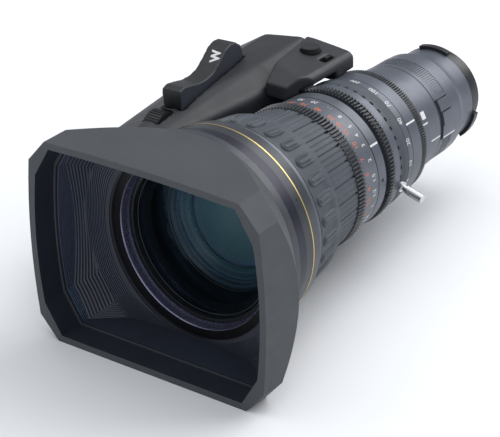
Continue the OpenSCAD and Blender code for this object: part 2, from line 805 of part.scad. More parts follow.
module focus_index_ring() {
    color("slategray")
        difference() {
            ring(groove_r, focus_index_r, focus_index_s, focus_index_s + focus_index_l);
            set_screw_hole(focus_screw_at, focus_index_s + focus_index_l / 2, focus_index_r);
        }
}

// Zoom ring: a sleeve, its rubber, gear and lever, and the pin that drives the cam tube
lever_s = zoom_band_s - lever_d / 2;
lever_r = zoom_rubber_d / 2;
lever_root = zoom_core_r - spoke_over;
zoom_gear_r = gear_r(zoom_teeth, coarse_module) - dedendum_share * coarse_module - gear_seat;

module zoom_sleeve() {
    color("slategray")
        difference() {
            turned([[zoom_bore_d / 2, zoom_s], [zoom_scale_d / 2, zoom_s],
                [zoom_scale_d / 2, zoom_rubber_s],
                [zoom_core_r, zoom_rubber_s], [zoom_core_r, zoom_band_s], [zoom_band_d / 2, zoom_band_s],
                [zoom_band_d / 2, zoom_gear_s], [zoom_gear_r, zoom_gear_s], [zoom_gear_r, zoom_front_s],
                [zoom_bore_d / 2, zoom_front_s]]);
            spoke(lever_at, lever_s, lever_root, lever_r, lever_d + 2 * seat_c);
            spoke(zoom_pin_at, zoom_pin_s, zoom_bore_d / 2 - cut, zoom_band_d / 2 + cut,
                zoom_pin_d + 2 * seat_c);
        }
}

module zoom_rubber() {
    notch_s = zoom_band_s - rubber_t;
    color("dimgray")
        difference() {
            ring(zoom_core_r + seat_c, zoom_rubber_d / 2, zoom_rubber_s + seat_c, zoom_band_s - seat_c);
            for (i = [0:zoom_notch_count - 1])
                spoke(i * 360 / zoom_notch_count, notch_s, zoom_rubber_d / 2 - set_screw_h,
                    zoom_rubber_d / 2 + cut,
                    zoom_notch_w);
            spoke(lever_at, lever_s, lever_root, lever_r + cut, lever_d + 2 * seat_c);
        }
}

module zoom_gear() {
    color("gray")
        gear(zoom_teeth, coarse_module, zoom_gear_s + seat_c, zoom_front_s, zoom_gear_r + seat_c,
            zoom_drive_at);
}

lever_base_d = 5.4;
lever_base_l = 1.6;
lever_shaft_l = 4.6;

module zoom_lever() {
    base_r = max(lever_r, zoom_band_d / 2) + run_c;
    color("black")
        union() {
            spoke(lever_at, lever_s, lever_root + seat_c, lever_r + lever_l / 2, lever_d);
            spoke(lever_at, lever_s, base_r, base_r + lever_base_l, lever_base_d);
            spoke(lever_at, lever_s, lever_r + lever_shaft_l, lever_r + lever_l, lever_knob_d);
        }
}

module zoom_pin() {
    color("silver")
        spoke(zoom_pin_at, zoom_pin_s, cell_r + run_c + spoke_over / 2, zoom_band_d / 2 - spoke_over,
            zoom_pin_d);
}

// Cam tube and the two zoom cells that slide in it
cam_rear_s = iris_seat_s + zoom_index_l;
zoom_cell_l = 8;
variator_s = cam_front_s - variator_travel - zoom_cell_l - focus_cell_gap;
compensator_s = cam_rear_s + compensator_travel + focus_cell_gap;

module cam_tube() {
    color("silver")
        difference() {
            ring(cell_r + run_c, cam_bore_d / 2 - run_c, cam_rear_s, cam_front_s);
            spoke(zoom_pin_at, zoom_pin_s, cell_r - cut, cam_bore_d / 2 + cut, zoom_pin_d + 2 * seat_c);
        }
}

module zoom_cell(s, r) {
    color("black")
        turned([[r + seat_c, s + shoulder_l], [r + seat_c, s + zoom_cell_l], [cell_r, s + zoom_cell_l],
            [cell_r, s], [r - shoulder_l, s], [r - shoulder_l, s + shoulder_l]]);
}

module zoom_element(s, r) {
    color("lightblue")
        element(r, s + shoulder_l + seat_c, s + zoom_cell_l, -element_hollow, -element_hollow);
}

module variator_cell() {
    zoom_cell(variator_s, variator_d / 2);
}

module variator_element() {
    zoom_element(variator_s, variator_d / 2);
}

module compensator_cell() {
    zoom_cell(compensator_s, compensator_d / 2);
}

module compensator_element() {
    zoom_element(compensator_s, compensator_d / 2);
}

module zoom_index_ring() {
    color("slategray")
        ring(zoom_index_bore_d / 2, index_r, zoom_index_s, zoom_index_s + zoom_index_l);
}

module iris_ring() {
    color("slategray")
        gear(iris_teeth, fine_module, iris_s, iris_s + iris_l, iris_bore_d / 2, iris_drive_at);
}

// Iris: a flat housing with six pins, and a blade in its own layer on each
iris_plate_t = 0.8;
iris_wall = 1.2;
iris_aperture_r = 15.2;
blade_gap = 0.06;
blade_layer = blade_t + blade_gap;
blade_pin_d = 1.6;
blade_pin_r = cam_bore_d / 2 - iris_wall - 2 * blade_pin_d;
blade_swing_l = 3.36;
blade_swing = degrees_of(blade_swing_l, blade_pin_r);
blade_arc_l = 48.56;
blade_reach = degrees_of(blade_arc_l, blade_pin_r);
blade_head_w = 3.4;
pocket_s = iris_seat_s + iris_plate_t;
pocket_l = blade_count * blade_layer + blade_gap;

module iris_housing() {
    out = cam_bore_d / 2 - seat_c;
    far = pocket_s + pocket_l;
    color("black")
        union() {
            turned([[iris_aperture_r, iris_seat_s], [out, iris_seat_s], [out, far + iris_plate_t],
                [iris_aperture_r, far + iris_plate_t], [iris_aperture_r, far], [out - iris_wall, far],
                [out - iris_wall, pocket_s], [iris_aperture_r, pocket_s]]);
            for (i = [0:blade_count - 1])
                spoke_pin(i * 360 / blade_count, blade_pin_r, pocket_s - iris_plate_t / 2,
                    far + iris_plate_t / 2, blade_pin_d);
        }
}

// Pin parallel to the axis, at a radius and direction
module spoke_pin(a, r, s0, s1, d) {
    at_angle(a)
        rod(r, 0, s0, s1, d);
}

module iris_blade(i) {
    s0 = pocket_s + blade_gap + i * blade_layer;
    s1 = s0 + blade_t;
    head_a = degrees_of(blade_head_w / 2, blade_pin_r);
    inner = iris_aperture_r + blade_gap;
    outer = blade_pin_r - blade_pin_d;
    color("black")
        at_angle(i * 360 / blade_count)
            translate([blade_pin_r, 0, 0])
                at_angle(blade_swing)
                    translate([-blade_pin_r, 0, 0])
                        difference() {
                            union() {
                                sector(inner, outer, s0, s1, -head_a, blade_reach);
                                sector(inner, blade_pin_r + blade_pin_d, s0, s1, -head_a, head_a);
                            }
                            rod(blade_pin_r, 0, s0 - cut, s1 + cut, blade_pin_d + 2 * run_c);
                        }
}

// Relay cell, which slides in the rear of the main tube
relay_l = 12;
relay_travel = 0.5;
relay_s = iris_seat_s - relay_l - 2 * relay_travel;

module relay_cell() {
    r = relay_bore_d / 2 - run_c;
    color("black")
        turned([[relay_d / 2 + seat_c, relay_s + shoulder_l], [relay_d / 2 + seat_c, relay_s + relay_l],
            [r, relay_s + relay_l], [r, relay_s], [relay_d / 2 - shoulder_l, relay_s],
            [relay_d / 2 - shoulder_l, relay_s + shoulder_l]]);
}

module relay_element() {
    color("lightblue")
        element(relay_d / 2, relay_s + shoulder_l + seat_c, relay_s + relay_l - shoulder_l,
            shoulder_l / 2, shoulder_l / 2);
}

// Back focus ring with its lock screw
lock_at = 238;
lock_d = 2;
lock_head_d = 5;
lock_h = 4;
lock_s = back_focus_s + back_focus_l / 2;

module back_focus_ring() {
    color("slategray")
        difference() {
            ring(back_focus_bore_d / 2, back_focus_d / 2, back_focus_s, back_focus_s + back_focus_l);
            spoke(lock_at, lock_s, back_focus_bore_d / 2 - cut, back_focus_d / 2 + cut,
                lock_d + 2 * run_c);
        }
}

module back_focus_lock() {
    r = back_focus_d / 2 + run_c;
    color("black")
        union() {
            spoke(lock_at, lock_s, back_focus_bore_d / 2 + run_c, r + lock_h / 2, lock_d);
            spoke(lock_at, lock_s, r, r + lock_h, lock_head_d);
        }
}

module macro_index_ring() {
    color("slategray")
        ring(macro_index_bore_d / 2, rear_band_d / 2, rear_band_s, rear_band_s + rear_band_l);
}

// Macro ring with a slot, a tab between slits, fine ribs and a sliding button
button_at = 10.5;
tab_at = [18, 32];
slot_at = [-12, 33];
slit_w = 0.5;
rib_margin = 1.4;
macro_pocket_h = 1.5;
macro_slot_drop = 0.2;
macro_button_h = 0.7;
macro_rib_h = 0.35;
macro_slot_s = macro_s + macro_l - macro_slot_l;
macro_button_s = macro_slot_s - macro_button_l + seat_c;
macro_rib_s = macro_slot_s - macro_rib_l;

// Outline with fine ribs round the macro ring, and plain where the slot and the button are
function ribbed_points(r) = let (
    first = slot_at[1] + rib_margin,
    last = slot_at[0] - rib_margin
) concat(
    ribs(r + cut, macro_rib_h + cut, macro_rib_count, first, 360 + last - first),
    [for (t = flare_steps) polar(r + 3 * cut, last + t * (first - last))]);

module macro_ring() {
    r = macro_d / 2;
    half_a = degrees_of(macro_button_w / 2 + run_c, r);
    slit_a = degrees_of(slit_w / 2, r);
    color("slategray")
        difference() {
            ring(macro_bore_d / 2, r, macro_s, macro_s + macro_l);
            sector(r - macro_pocket_h - macro_slot_drop, r + 2 * cut, macro_slot_s,
                macro_s + macro_l - slit_w, slot_at[0], slot_at[1]);
            sector(r - macro_pocket_h, r + cut, macro_button_s - run_c, macro_slot_s + cut,
                button_at - half_a, button_at + half_a);
            for (a = tab_at)
                sector(r - macro_pocket_h, r + cut, macro_rib_s, macro_slot_s + cut, a - slit_a,
                    a + slit_a);
            along(macro_rib_s)
                linear_extrude(macro_rib_l)
                    difference() {
                        circle(r + 2 * cut, $fn = fine);
                        polygon(ribbed_points(r));
                    }
        }
}

module macro_button() {
    half_a = degrees_of(macro_button_w / 2, macro_d / 2);
    r0 = macro_d / 2 - macro_pocket_h + run_c;
    color("black")
        sector(r0, macro_d / 2 + macro_button_h, macro_button_s, macro_slot_s, button_at - half_a,
            button_at + half_a);
}

// Rear housing, which narrows in a hollow curve towards the flange
flare_steps = [0:0.125:1];
housing_straight_l = 7;
housing_flare_l = 7;

module rear_housing() {
    flare_s = rear_s + housing_straight_l;
    drop = (macro_d - rear_d) / 2 - macro_button_h / 2;
    r0 = rear_d / 2;
    color("slategray")
        difference() {
            turned(concat([[rear_bore_d / 2, rear_s], [r0, rear_s]],
                [for (t = flare_steps) [r0 + drop * (1 - cos(90 * t)),
                    flare_s + housing_flare_l * sin(90 * t)]],
                [[r0 + drop, macro_s - ring_gap], [rear_bore_d / 2, macro_s - ring_gap]]));
            for (a = mount_screw_angles)
                mount_screw_hole(a);
        }
}

// Bayonet flange with three ears, a spigot and a locating pin, and its four screws
ear_step = 120;
ear_angles = [-30, 90, 210];
mount_screw_angles = [30, 150, 270, 355];
mount_screw_r = (rear_bore_d + flange_d) / 4;
mount_screw_l = 6;
mount_shank_d = 1;
screw_head_t = 1;

module mount_screw_hole(a) {
    spoke_pin(a, mount_screw_r, 0, rear_s + mount_screw_l + seat_c, mount_shank_d + 2 * seat_c);
}

module mount_flange() {
    color("silver")
        difference() {
            union() {
                turned([[spigot_bore_d / 2, -spigot_l], [spigot_d / 2, -spigot_l], [spigot_d / 2, 0],
                    [ear_d / 2, 0], [ear_d / 2, flange_t], [spigot_bore_d / 2, flange_t]]);
                spoke_pin(ear_angles[1], (spigot_d + ear_d) / 4, -locating_pin_h, flange_t / 2,
                    locating_pin_d);
            }
            for (a = ear_angles)
                sector(flange_d / 2, ear_d / 2 + cut, -cut, flange_t + cut, a + ear_span / 2,
                    a + ear_step - ear_span / 2);
            for (a = mount_screw_angles) {
                mount_screw_hole(a);
                spoke_pin(a, mount_screw_r, -cut, screw_head_t + seat_c, mount_screw_d + 2 * seat_c);
            }
        }
}

module mount_screws() {
    color("silver")
        for (a = mount_screw_angles)
            union() {
                spoke_pin(a, mount_screw_r, seat_c, rear_s + mount_screw_l, mount_shank_d);
                spoke_pin(a, mount_screw_r, seat_c, screw_head_t, mount_screw_d);
            }
}

// Hand grip: balls at points of three sections, joined by hulls
grip_front_s = grip_rear_s + grip_l;
panel_front_s = grip_rear_s + panel_l;
base_z = -hood_z;
centre_x = grip_reach - grip_edge_r;
near_x = grip_near_x + grip_edge_r;
centre_up = grip_top - grip_edge_r;
centre_down = hood_z - grip_edge_r;

// Places of the balls, as shares of the way from the near edge to the far one and of the height up or down
front_shares = [[0.256, 0.653], [0.372, 0.694], [0.67, 0.444], [0.892, -0.045], [0.935, -0.45],
    [0.86, -0.878], [0.802, -1], [0.305, -1]];
middle_shares = [[0, 0.792], [0.174, 0.917], [0.454, 0.88], [0.752, 0.564], [0.957, 0.075],
    [1, -0.428], [0.935, -0.9], [0.834, -1], [0.273, -1], [0.004, -0.56]];
rear_shares = [[0.141, 1], [0.446, 0.917], [0.67, 0.68], [0.892, 0.083], [0.935, -0.428],
    [0.868, -0.878], [0.735, -1], [0.305, -1], [0.004, -0.56]];
step_share = 0.72;
middle_s = grip_rear_s + grip_l * (1 - step_share);

module balls(shares, s, r) {
    for (p = shares)
        translate([-near_x - p[0] * (centre_x - near_x), -s, p[1] * (p[1] > 0 ? centre_up : centre_down)])
            sphere(r, $fn = soft);
}

module grip_front_form(r) {
    hull() {
        balls(front_shares, grip_front_s - grip_edge_r, r);
        balls(middle_shares, middle_s, r);
    }
}

module grip_rear_form(r) {
    hull() {
        balls(middle_shares, middle_s + panel_edge_r, r);
        balls(rear_shares, grip_rear_s + grip_edge_r, r);
    }
}

// Space that the barrel takes, wider by a gap beside turning rings and by a wall where that is asked for
module barrel_space(wall) {
    turn_gap = grip_gap + wall;
    band_gap = seat_c + wall;
    half = ring_gap / 2;
    iris_tip = gear_r(iris_teeth, fine_module) + fine_module;
    zoom_tip = gear_r(zoom_teeth, coarse_module) + coarse_module;
    focus_tip = gear_r(focus_teeth, coarse_module) + coarse_module;
    pad_r = max(focus_pad_front_d, focus_pad_rear_d) / 2 + pad_h;
    lug_r = clamp_in_r + clamp_band_wall + lug_h;
    turned([[0, grip_rear_s - cut], [iris_tip + turn_gap, grip_rear_s - cut],
        [iris_tip + turn_gap, zoom_index_s - half],
        [index_r + band_gap, zoom_index_s - half], [index_r + band_gap, zoom_s - half],
        [zoom_tip + turn_gap, zoom_s - half], [zoom_tip + turn_gap, focus_index_s - half],
        [focus_index_r + band_gap, focus_index_s - half], [focus_index_r + band_gap, focus_s - half],
        [focus_scale_rear_d / 2 + turn_gap, focus_s - half],
        [focus_tip + turn_gap, focus_gear_s - grip_gap],
        [focus_tip + turn_gap, rubber_s], [focus_grip_rear_d / 2 + turn_gap, rubber_s],
        [focus_grip_mid_d / 2 + turn_gap, focus_front_grip_s - grip_gap],
        [pad_r + turn_gap, focus_front_grip_s - grip_gap],
        [pad_r + turn_gap, focus_lip_s], [front_d / 2 + turn_gap, focus_front_s],
        [front_d / 2 + turn_gap, clamp_s - turn_gap], [lug_r + turn_gap, clamp_s - turn_gap],
        [lug_r + turn_gap, hood_front_s], [0, hood_front_s]]);
}

// The two drive gears sit in the grip beside the rings that they turn
zoom_drive_r = gear_r(zoom_teeth + zoom_drive_teeth, coarse_module) + mesh_gap;
iris_drive_r = gear_r(iris_teeth + iris_drive_teeth, fine_module) + mesh_gap;
zoom_drive_x = zoom_drive_r * cos(zoom_drive_at);
zoom_drive_z = zoom_drive_r * sin(zoom_drive_at);
iris_drive_x = iris_drive_r * cos(iris_drive_at);
iris_drive_z = iris_drive_r * sin(iris_drive_at);
window_gap = 0.5;
bulkhead_t = 2;
rear_bulkhead_s = iris_s + iris_l + ring_gap;
front_bulkhead_s = zoom_gear_s - ring_gap - bulkhead_t;
motor_s = rear_bulkhead_s + bulkhead_t;

module drive_windows() {
    rod(zoom_drive_x, zoom_drive_z, zoom_gear_s - ring_gap, zoom_front_s + ring_gap,
        2 * (gear_r(zoom_drive_teeth, coarse_module) + coarse_module + window_gap));
    rod(iris_drive_x, iris_drive_z, iris_s - ring_gap, rear_bulkhead_s,
        2 * (gear_r(iris_drive_teeth, fine_module) + fine_module + window_gap));
    rod(zoom_drive_x, zoom_drive_z, front_bulkhead_s - cut, zoom_gear_s, motor_shaft_d + 2 * run_c);
    rod(iris_drive_x, iris_drive_z, iris_s, motor_s + cut, motor_shaft_d + 2 * run_c);
}

module bulkheads() {
    for (s = [rear_bulkhead_s, front_bulkhead_s])
        translate([-grip_reach, -s - bulkhead_t, base_z])
            cube([grip_reach, bulkhead_t, hood_z + grip_top]);
}

// Screws of the base cover, as shares of the way from the near edge to the far one and of the length
base_screw_shares = [[0.826, 0.14], [0.858, 0.8], [0.297, 0.14], [0.313, 0.84]];
boss_d = 6;
boss_h = 10;
grip_screw_d = 2.5;
grip_head_d = 4.4;
grip_head_t = 1.6;
grip_screw_l = 9;

module at_base_screws() {
    for (p = base_screw_shares)
        translate([-near_x - p[0] * (centre_x - near_x), -grip_rear_s - p[1] * grip_l, base_z])
            children();
}

module screw_holes() {
    at_base_screws()
        translate([0, 0, -cut])
            cylinder(d = grip_screw_d + 2 * seat_c, h = grip_screw_l + seat_c + cut, $fn = small);
}

module screw_heads(c) {
    at_base_screws()
        translate([0, 0, c > 0 ? -cut : seat_c])
            cylinder(d = grip_head_d + 2 * c, h = grip_head_t + (c > 0 ? cut + c : -seat_c), $fn = small);
}

module grip_screws() {
    color("silver")
        union() {
            screw_heads(0);
            at_base_screws()
                translate([0, 0, seat_c])
                    cylinder(d = grip_screw_d, h = grip_screw_l - seat_c, $fn = small);
        }
}

// Plan of the control panel, right of the parting line
parting_front_x = 30;
parting_rear_x = 38;
panel_low_z = 28;

module panel_region() {
    translate([0, 0, panel_low_z])
        linear_extrude(grip_top)
            polygon([[-parting_front_x, -panel_front_s - seat_c], [-parting_rear_x, -grip_rear_s + cut],
                [grip_reach, -grip_rear_s + cut], [grip_reach, -panel_front_s - seat_c]]);
}

// Rocker frame: the middle of its base line, turned with the parting line and the rising top of the grip
rocker_yaw = 6;
rocker_pitch = 5.6;
rocker_z = 34.8;
rocker_gap = 0.7;
rocker_low = 1.4;
rocker_leg_w = 5;
rocker_leg_l = 8;
rocker_pin_drop = 5;
axle_boss_w = 4;
rocker_profile_shares = [[0.5, 0.3], [0.47, 0.62], [0.4, 0.92], [0.32, 1], [0.24, 0.94], [0.14, 0.66],
    [0.03, 0.4], [-0.08, 0.36], [-0.2, 0.46], [-0.32, 0.68], [-0.42, 0.84], [-0.49, 0.8], [-0.5, 0.6]];

module at_rocker() {
    translate([-rocker_x, -rocker_s, rocker_z])
        rotate([0, 0, rocker_yaw])
            rotate([rocker_pitch, 0, 0])
                children();
}

module rocker_axle(half, d) {
    translate([-half, 0, -rocker_pin_drop])
        rotate([0, 90, 0])
            cylinder(d = d, h = 2 * half, $fn = small);
}

module zoom_rocker() {
    color("dimgray")
        at_rocker()
            difference() {
                union() {
                    translate([rocker_w / 2, 0, 0])
                        rotate([90, 0, -90])
                            linear_extrude(rocker_w)
                                polygon(concat([for (p = rocker_profile_shares) [-p[0] * rocker_l,
                                    p[1] * rocker_h]],
                                    [[rocker_l / 2, -rocker_low], [-rocker_l / 2, -rocker_low]]));
                    translate([-rocker_leg_w / 2, -rocker_leg_l / 2, -rocker_pin_drop - rocker_pin_d])
                        cube([rocker_leg_w, rocker_leg_l, rocker_pin_drop + rocker_pin_d]);
                }
                rocker_axle(rocker_w, rocker_pin_d + 2 * run_c);
            }
}

module rocker_pin() {
    color("silver")
        at_rocker()
            rocker_axle(rocker_w / 2 + rocker_gap + axle_boss_w - seat_c, rocker_pin_d);
}

module rocker_well() {
    w = rocker_w + 2 * rocker_gap;
    l = rocker_l + 2 * rocker_gap;
    at_rocker() {
        translate([-w / 2, -l / 2, -rocker_pin_drop])
            cube([w, l, rocker_pin_drop + rocker_h]);
        translate([-w / 2, -rocker_leg_l, -rocker_pin_drop - 2 * rocker_pin_d])
            cube([w, 2 * rocker_leg_l, rocker_pin_drop + rocker_pin_d]);
        rocker_axle(rocker_w / 2 + rocker_gap + axle_boss_w, rocker_pin_d + 2 * seat_c);
    }
}

module rocker_bosses() {
    w = rocker_w / 2 + rocker_gap;
    at_rocker()
        for (x = [-w - axle_boss_w - grip_wall, w])
            translate([x, -rocker_pin_d, -rocker_pin_drop - rocker_pin_d])
                cube([axle_boss_w + grip_wall, 2 * rocker_pin_d, 2 * rocker_pin_drop]);
}

// Speed dial in a slot in front of the rocker
dial_x = 54;
dial_s = 148;
dial_z = 24.6;
dial_gap = 0.5;
dial_axle_d = 2.5;
dial_rib_count = 36;
dial_rib_h = 0.4;

module dial_rod(half, d) {
    translate([-dial_x - half, -dial_s, dial_z])
        rotate([0, 90, 0])
            cylinder(d = d, h = 2 * half, $fn = small);
}

module speed_dial() {
    color("black")
        union() {
            translate([-dial_x - dial_w / 2, -dial_s, dial_z])
                rotate([0, 90, 0])
                    linear_extrude(dial_w)
                        polygon(ribs(dial_d / 2, dial_rib_h, dial_rib_count, 0, 360));
            dial_rod(dial_w / 2 + dial_gap + axle_boss_w - run_c, dial_axle_d);
        }
}

module dial_slot() {
    w = dial_w / 2 + dial_gap;
    dial_rod(w, dial_d + 2 * dial_gap);
    dial_rod(w + axle_boss_w, dial_axle_d + 2 * run_c);
}

module dial_bosses() {
    w = dial_w / 2 + dial_gap;
    for (x = [-w - axle_boss_w - grip_wall / 2, w])
        translate([-dial_x + x, -dial_s - dial_axle_d, dial_z - dial_axle_d])
            cube([axle_boss_w + grip_wall / 2, 2 * dial_axle_d, grip_top - dial_z]);
}

// Record button in the rear face, and the cable gland below it
record_x_share = 0.66;
record_x = grip_reach * record_x_share;
record_z = 14;
record_proud = 1.6;
record_flange_w = 1.2;
record_flange_t = 1;
gland_x_share = 0.64;
gland_x = grip_reach * gland_x_share;
gland_z = -28;
gland_neck_d = 7;
gland_bore_d = 4.4;
gland_l = 5;
gland_nut_l = 1.6;

module record_button() {
    inner_s = grip_rear_s + grip_wall + run_c;
    color("black")
        union() {
            rod(-record_x, record_z, grip_rear_s - record_proud, inner_s + record_flange_t,
                record_button_d);
            rod(-record_x, record_z, inner_s, inner_s + record_flange_t,
                record_button_d + 2 * record_flange_w);
        }
}

module cable_gland() {
    color("black")
        difference() {
            union() {
                rod(-gland_x, gland_z, grip_rear_s - gland_l, grip_rear_s, gland_d);
                rod(-gland_x, gland_z, grip_rear_s - seat_c, grip_rear_s + grip_wall + gland_nut_l,
                    gland_neck_d);
            }
            rod(-gland_x, gland_z, grip_rear_s - gland_l - cut,
                grip_rear_s + grip_wall + gland_nut_l + cut, gland_bore_d);
        }
}

module grip_shell() {
    color("dimgray")
        difference() {
            union() {
                grip_front_form(grip_edge_r);
                grip_rear_form(grip_edge_r);
            }
            difference() {
                union() {
                    grip_front_form(grip_edge_r - grip_wall);
                    grip_rear_form(grip_edge_r - grip_wall);
                }
                barrel_space(grip_wall);
                bulkheads();
                rocker_bosses();
                dial_bosses();
                at_base_screws()
                    cylinder(d = boss_d, h = base_t + boss_h, $fn = small);
            }
            barrel_space(0);
            panel_region();
            drive_windows();
            rocker_well();
            dial_slot();
            base_slab();
            screw_holes();
            rod(-record_x, record_z, grip_rear_s - cut, grip_rear_s + grip_wall + cut,
                record_button_d + 2 * run_c);
            rod(-gland_x, gland_z, grip_rear_s - cut, grip_rear_s + grip_wall + cut,
                gland_neck_d + 2 * seat_c);
        }
}

module base_slab() {
    translate([-2 * grip_reach, -grip_front_s - cut, base_z - cut])
        cube([2 * grip_reach, grip_l + 2 * cut, base_t + cut]);
}

module grip_base() {
    color("black")
        difference() {
            intersection() {
                union() {
                    grip_front_form(grip_edge_r);
                    grip_rear_form(grip_edge_r);
                }
                base_slab();
            }
            screw_holes();
            screw_heads(seat_c);
        }
}

// Control panel: a block that reaches over the barrel
panel_top_drop = 2.5;
panel_slope_l = 12;
panel_slope_h = 6;
return_x = 27;
return_s = 67;
return_proud = 1.4;
return_pocket = 5;
switch_x = 17;
switch_s = 68;
switch_w = 4;
switch_l = 8;
switch_h = 3;
switch_knob_l = 3;
switch_travel = 1.8;
switch_proud = 1.2;

// The block is what its three outlines, from the front, from the side and from above, have in common
module panel_form() {
    top = grip_top - panel_top_drop;
    edge = panel_edge_r;
    intersection() {
        along(grip_rear_s)
            linear_extrude(panel_l)
                polygon([[-grip_reach, grip_top], [-parting_rear_x + panel_slope_h, grip_top],
                    [-panel_near_x - edge, top],
                    [-panel_near_x, top - edge], [-panel_near_x, 0], [-grip_reach, 0]]);
        translate([-grip_reach, 0, 0])
            rotate([90, 0, 90])
                linear_extrude(grip_reach)
                    polygon([[-panel_front_s, 0], [-panel_front_s, grip_top - panel_slope_h],
                        [-panel_front_s + panel_slope_l, grip_top + cut],
                        [-grip_rear_s - edge, grip_top + cut],
                        [-grip_rear_s, grip_top - edge], [-grip_rear_s, 0]]);
        translate([0, 0, panel_low_z])
            linear_extrude(grip_top)
                polygon([[-parting_front_x + seat_c, -panel_front_s],
                    [-parting_rear_x + seat_c, -grip_rear_s + cut],
                    [-panel_near_x, -grip_rear_s + cut], [-panel_near_x, -panel_front_s + panel_slope_l],
                    [-parting_front_x + panel_slope_l, -panel_front_s]]);
    }
}

module panel_post(x, s, z0, z1, d) {
    translate([-x, -s, z0])
        cylinder(d = d, h = z1 - z0, $fn = small);
}

module control_panel() {
    switch_floor = grip_top - panel_top_drop - switch_h;
    color("slategray")
        difference() {
            panel_form();
            barrel_space(0);
            panel_post(return_x, return_s, grip_top - return_pocket - button_travel, grip_top + cut,
                return_button_d + 2 * run_c);
            translate([-switch_x - switch_w / 2, -switch_s - switch_l / 2, switch_floor])
                cube([switch_w, switch_l, grip_top]);
        }
}

module return_button() {
    color("black")
        panel_post(return_x, return_s, grip_top - return_pocket + run_c, grip_top + return_proud,
            return_button_d);
}

module mode_switch() {
    switch_floor = grip_top - panel_top_drop - switch_h + run_c;
    base_l = switch_l - 2 * switch_travel - 2 * run_c;
    color("silver")
        union() {
            translate([-switch_x - switch_w / 2 + run_c, -switch_s - base_l / 2, switch_floor])
                cube([switch_w - 2 * run_c, base_l, switch_h / 2]);
            translate([-switch_x - switch_w / 4, -switch_s - switch_knob_l / 2, switch_floor])
                cube([switch_w / 2, switch_knob_l, switch_h + switch_proud]);
        }
}

// Motors between the bulkheads, and the gears on their shafts
module motor(x, z, d) {
    color("silver")
        difference() {
            rod(x, z, motor_s, front_bulkhead_s, d);
            rod(x, z, motor_s - cut, front_bulkhead_s + cut, motor_shaft_d + 2 * run_c);
        }
}

module zoom_motor() {
    motor(zoom_drive_x, zoom_drive_z, zoom_motor_d);
}

module iris_motor() {
    motor(iris_drive_x, iris_drive_z, iris_motor_d);
}

shaft_in = 8;

module drive_gear(x, z, teeth, m, s0, s1, from, to, turn) {
    color("gold")
        union() {
            translate([x, 0, z])
                gear(teeth, m, s0, s1, motor_shaft_d / 2 - seat_c, turn);
            rod(x, z, from, to, motor_shaft_d);
        }
}

module zoom_drive_gear() {
    drive_gear(zoom_drive_x, zoom_drive_z, zoom_drive_teeth, coarse_module, zoom_gear_s + run_c,
        zoom_front_s - run_c, front_bulkhead_s - shaft_in, zoom_front_s - run_c,
        zoom_drive_at + 180 + 180 / zoom_drive_teeth);
}

module iris_drive_gear() {
    drive_gear(iris_drive_x, iris_drive_z, iris_drive_teeth, fine_module, iris_s + run_c,
        iris_s + iris_l - run_c, iris_s + run_c, motor_s + shaft_in,
        iris_drive_at + 180 + 180 / iris_drive_teeth);
}

// Circuit board that stands on the base cover
board_x_share = 0.784;
board_x = grip_reach * board_x_share;
board_t = 1.6;
board_h = 44;
board_l_share = 0.539;
board_s_share = 0.33;
board_l = grip_l * board_l_share;
board_s = grip_rear_s + grip_l * board_s_share;

module circuit_board() {
    color("green")
        translate([-board_x, -board_s - board_l, base_z + base_t + seat_c])
            cube([board_t, board_l, board_h]);
}

lens_hood();
hood_clamp_ring();
hood_clamp_screw();
front_barrel();
gold_trim_ring();
front_retainer();
front_element();
focus_sleeve();
focus_rubber();
focus_gear();
focus_cell();
focus_element();
main_tube();
relay_tube();
focus_index_ring();
zoom_sleeve();
zoom_rubber();
zoom_gear();
zoom_lever();
zoom_pin();
cam_tube();
variator_cell();
variator_element();
compensator_cell();
compensator_element();
zoom_index_ring();
iris_ring();
iris_housing();
iris_blade(0);  // iris_blade_1
iris_blade(1);  // iris_blade_2
iris_blade(2);  // iris_blade_3
iris_blade(3);  // iris_blade_4
iris_blade(4);  // iris_blade_5
iris_blade(5);  // iris_blade_6
relay_cell();
relay_element();
back_focus_ring();
back_focus_lock();
macro_index_ring();
macro_ring();
macro_button();
rear_housing();
mount_flange();
mount_screws();
grip_shell();
grip_base();
control_panel();
zoom_rocker();
rocker_pin();
return_button();
record_button();
mode_switch();
speed_dial();
zoom_motor();
zoom_drive_gear();
iris_motor();
iris_drive_gear();
circuit_board();
cable_gland();
grip_screws();
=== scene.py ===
"""Looks of a broadcast zoom lens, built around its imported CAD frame.

Metres; the optical axis is Y and the front looks to -Y. A station is a distance in front of the flange face.
"""
import math

import bmesh
import bpy
from mathutils import Matrix, Vector


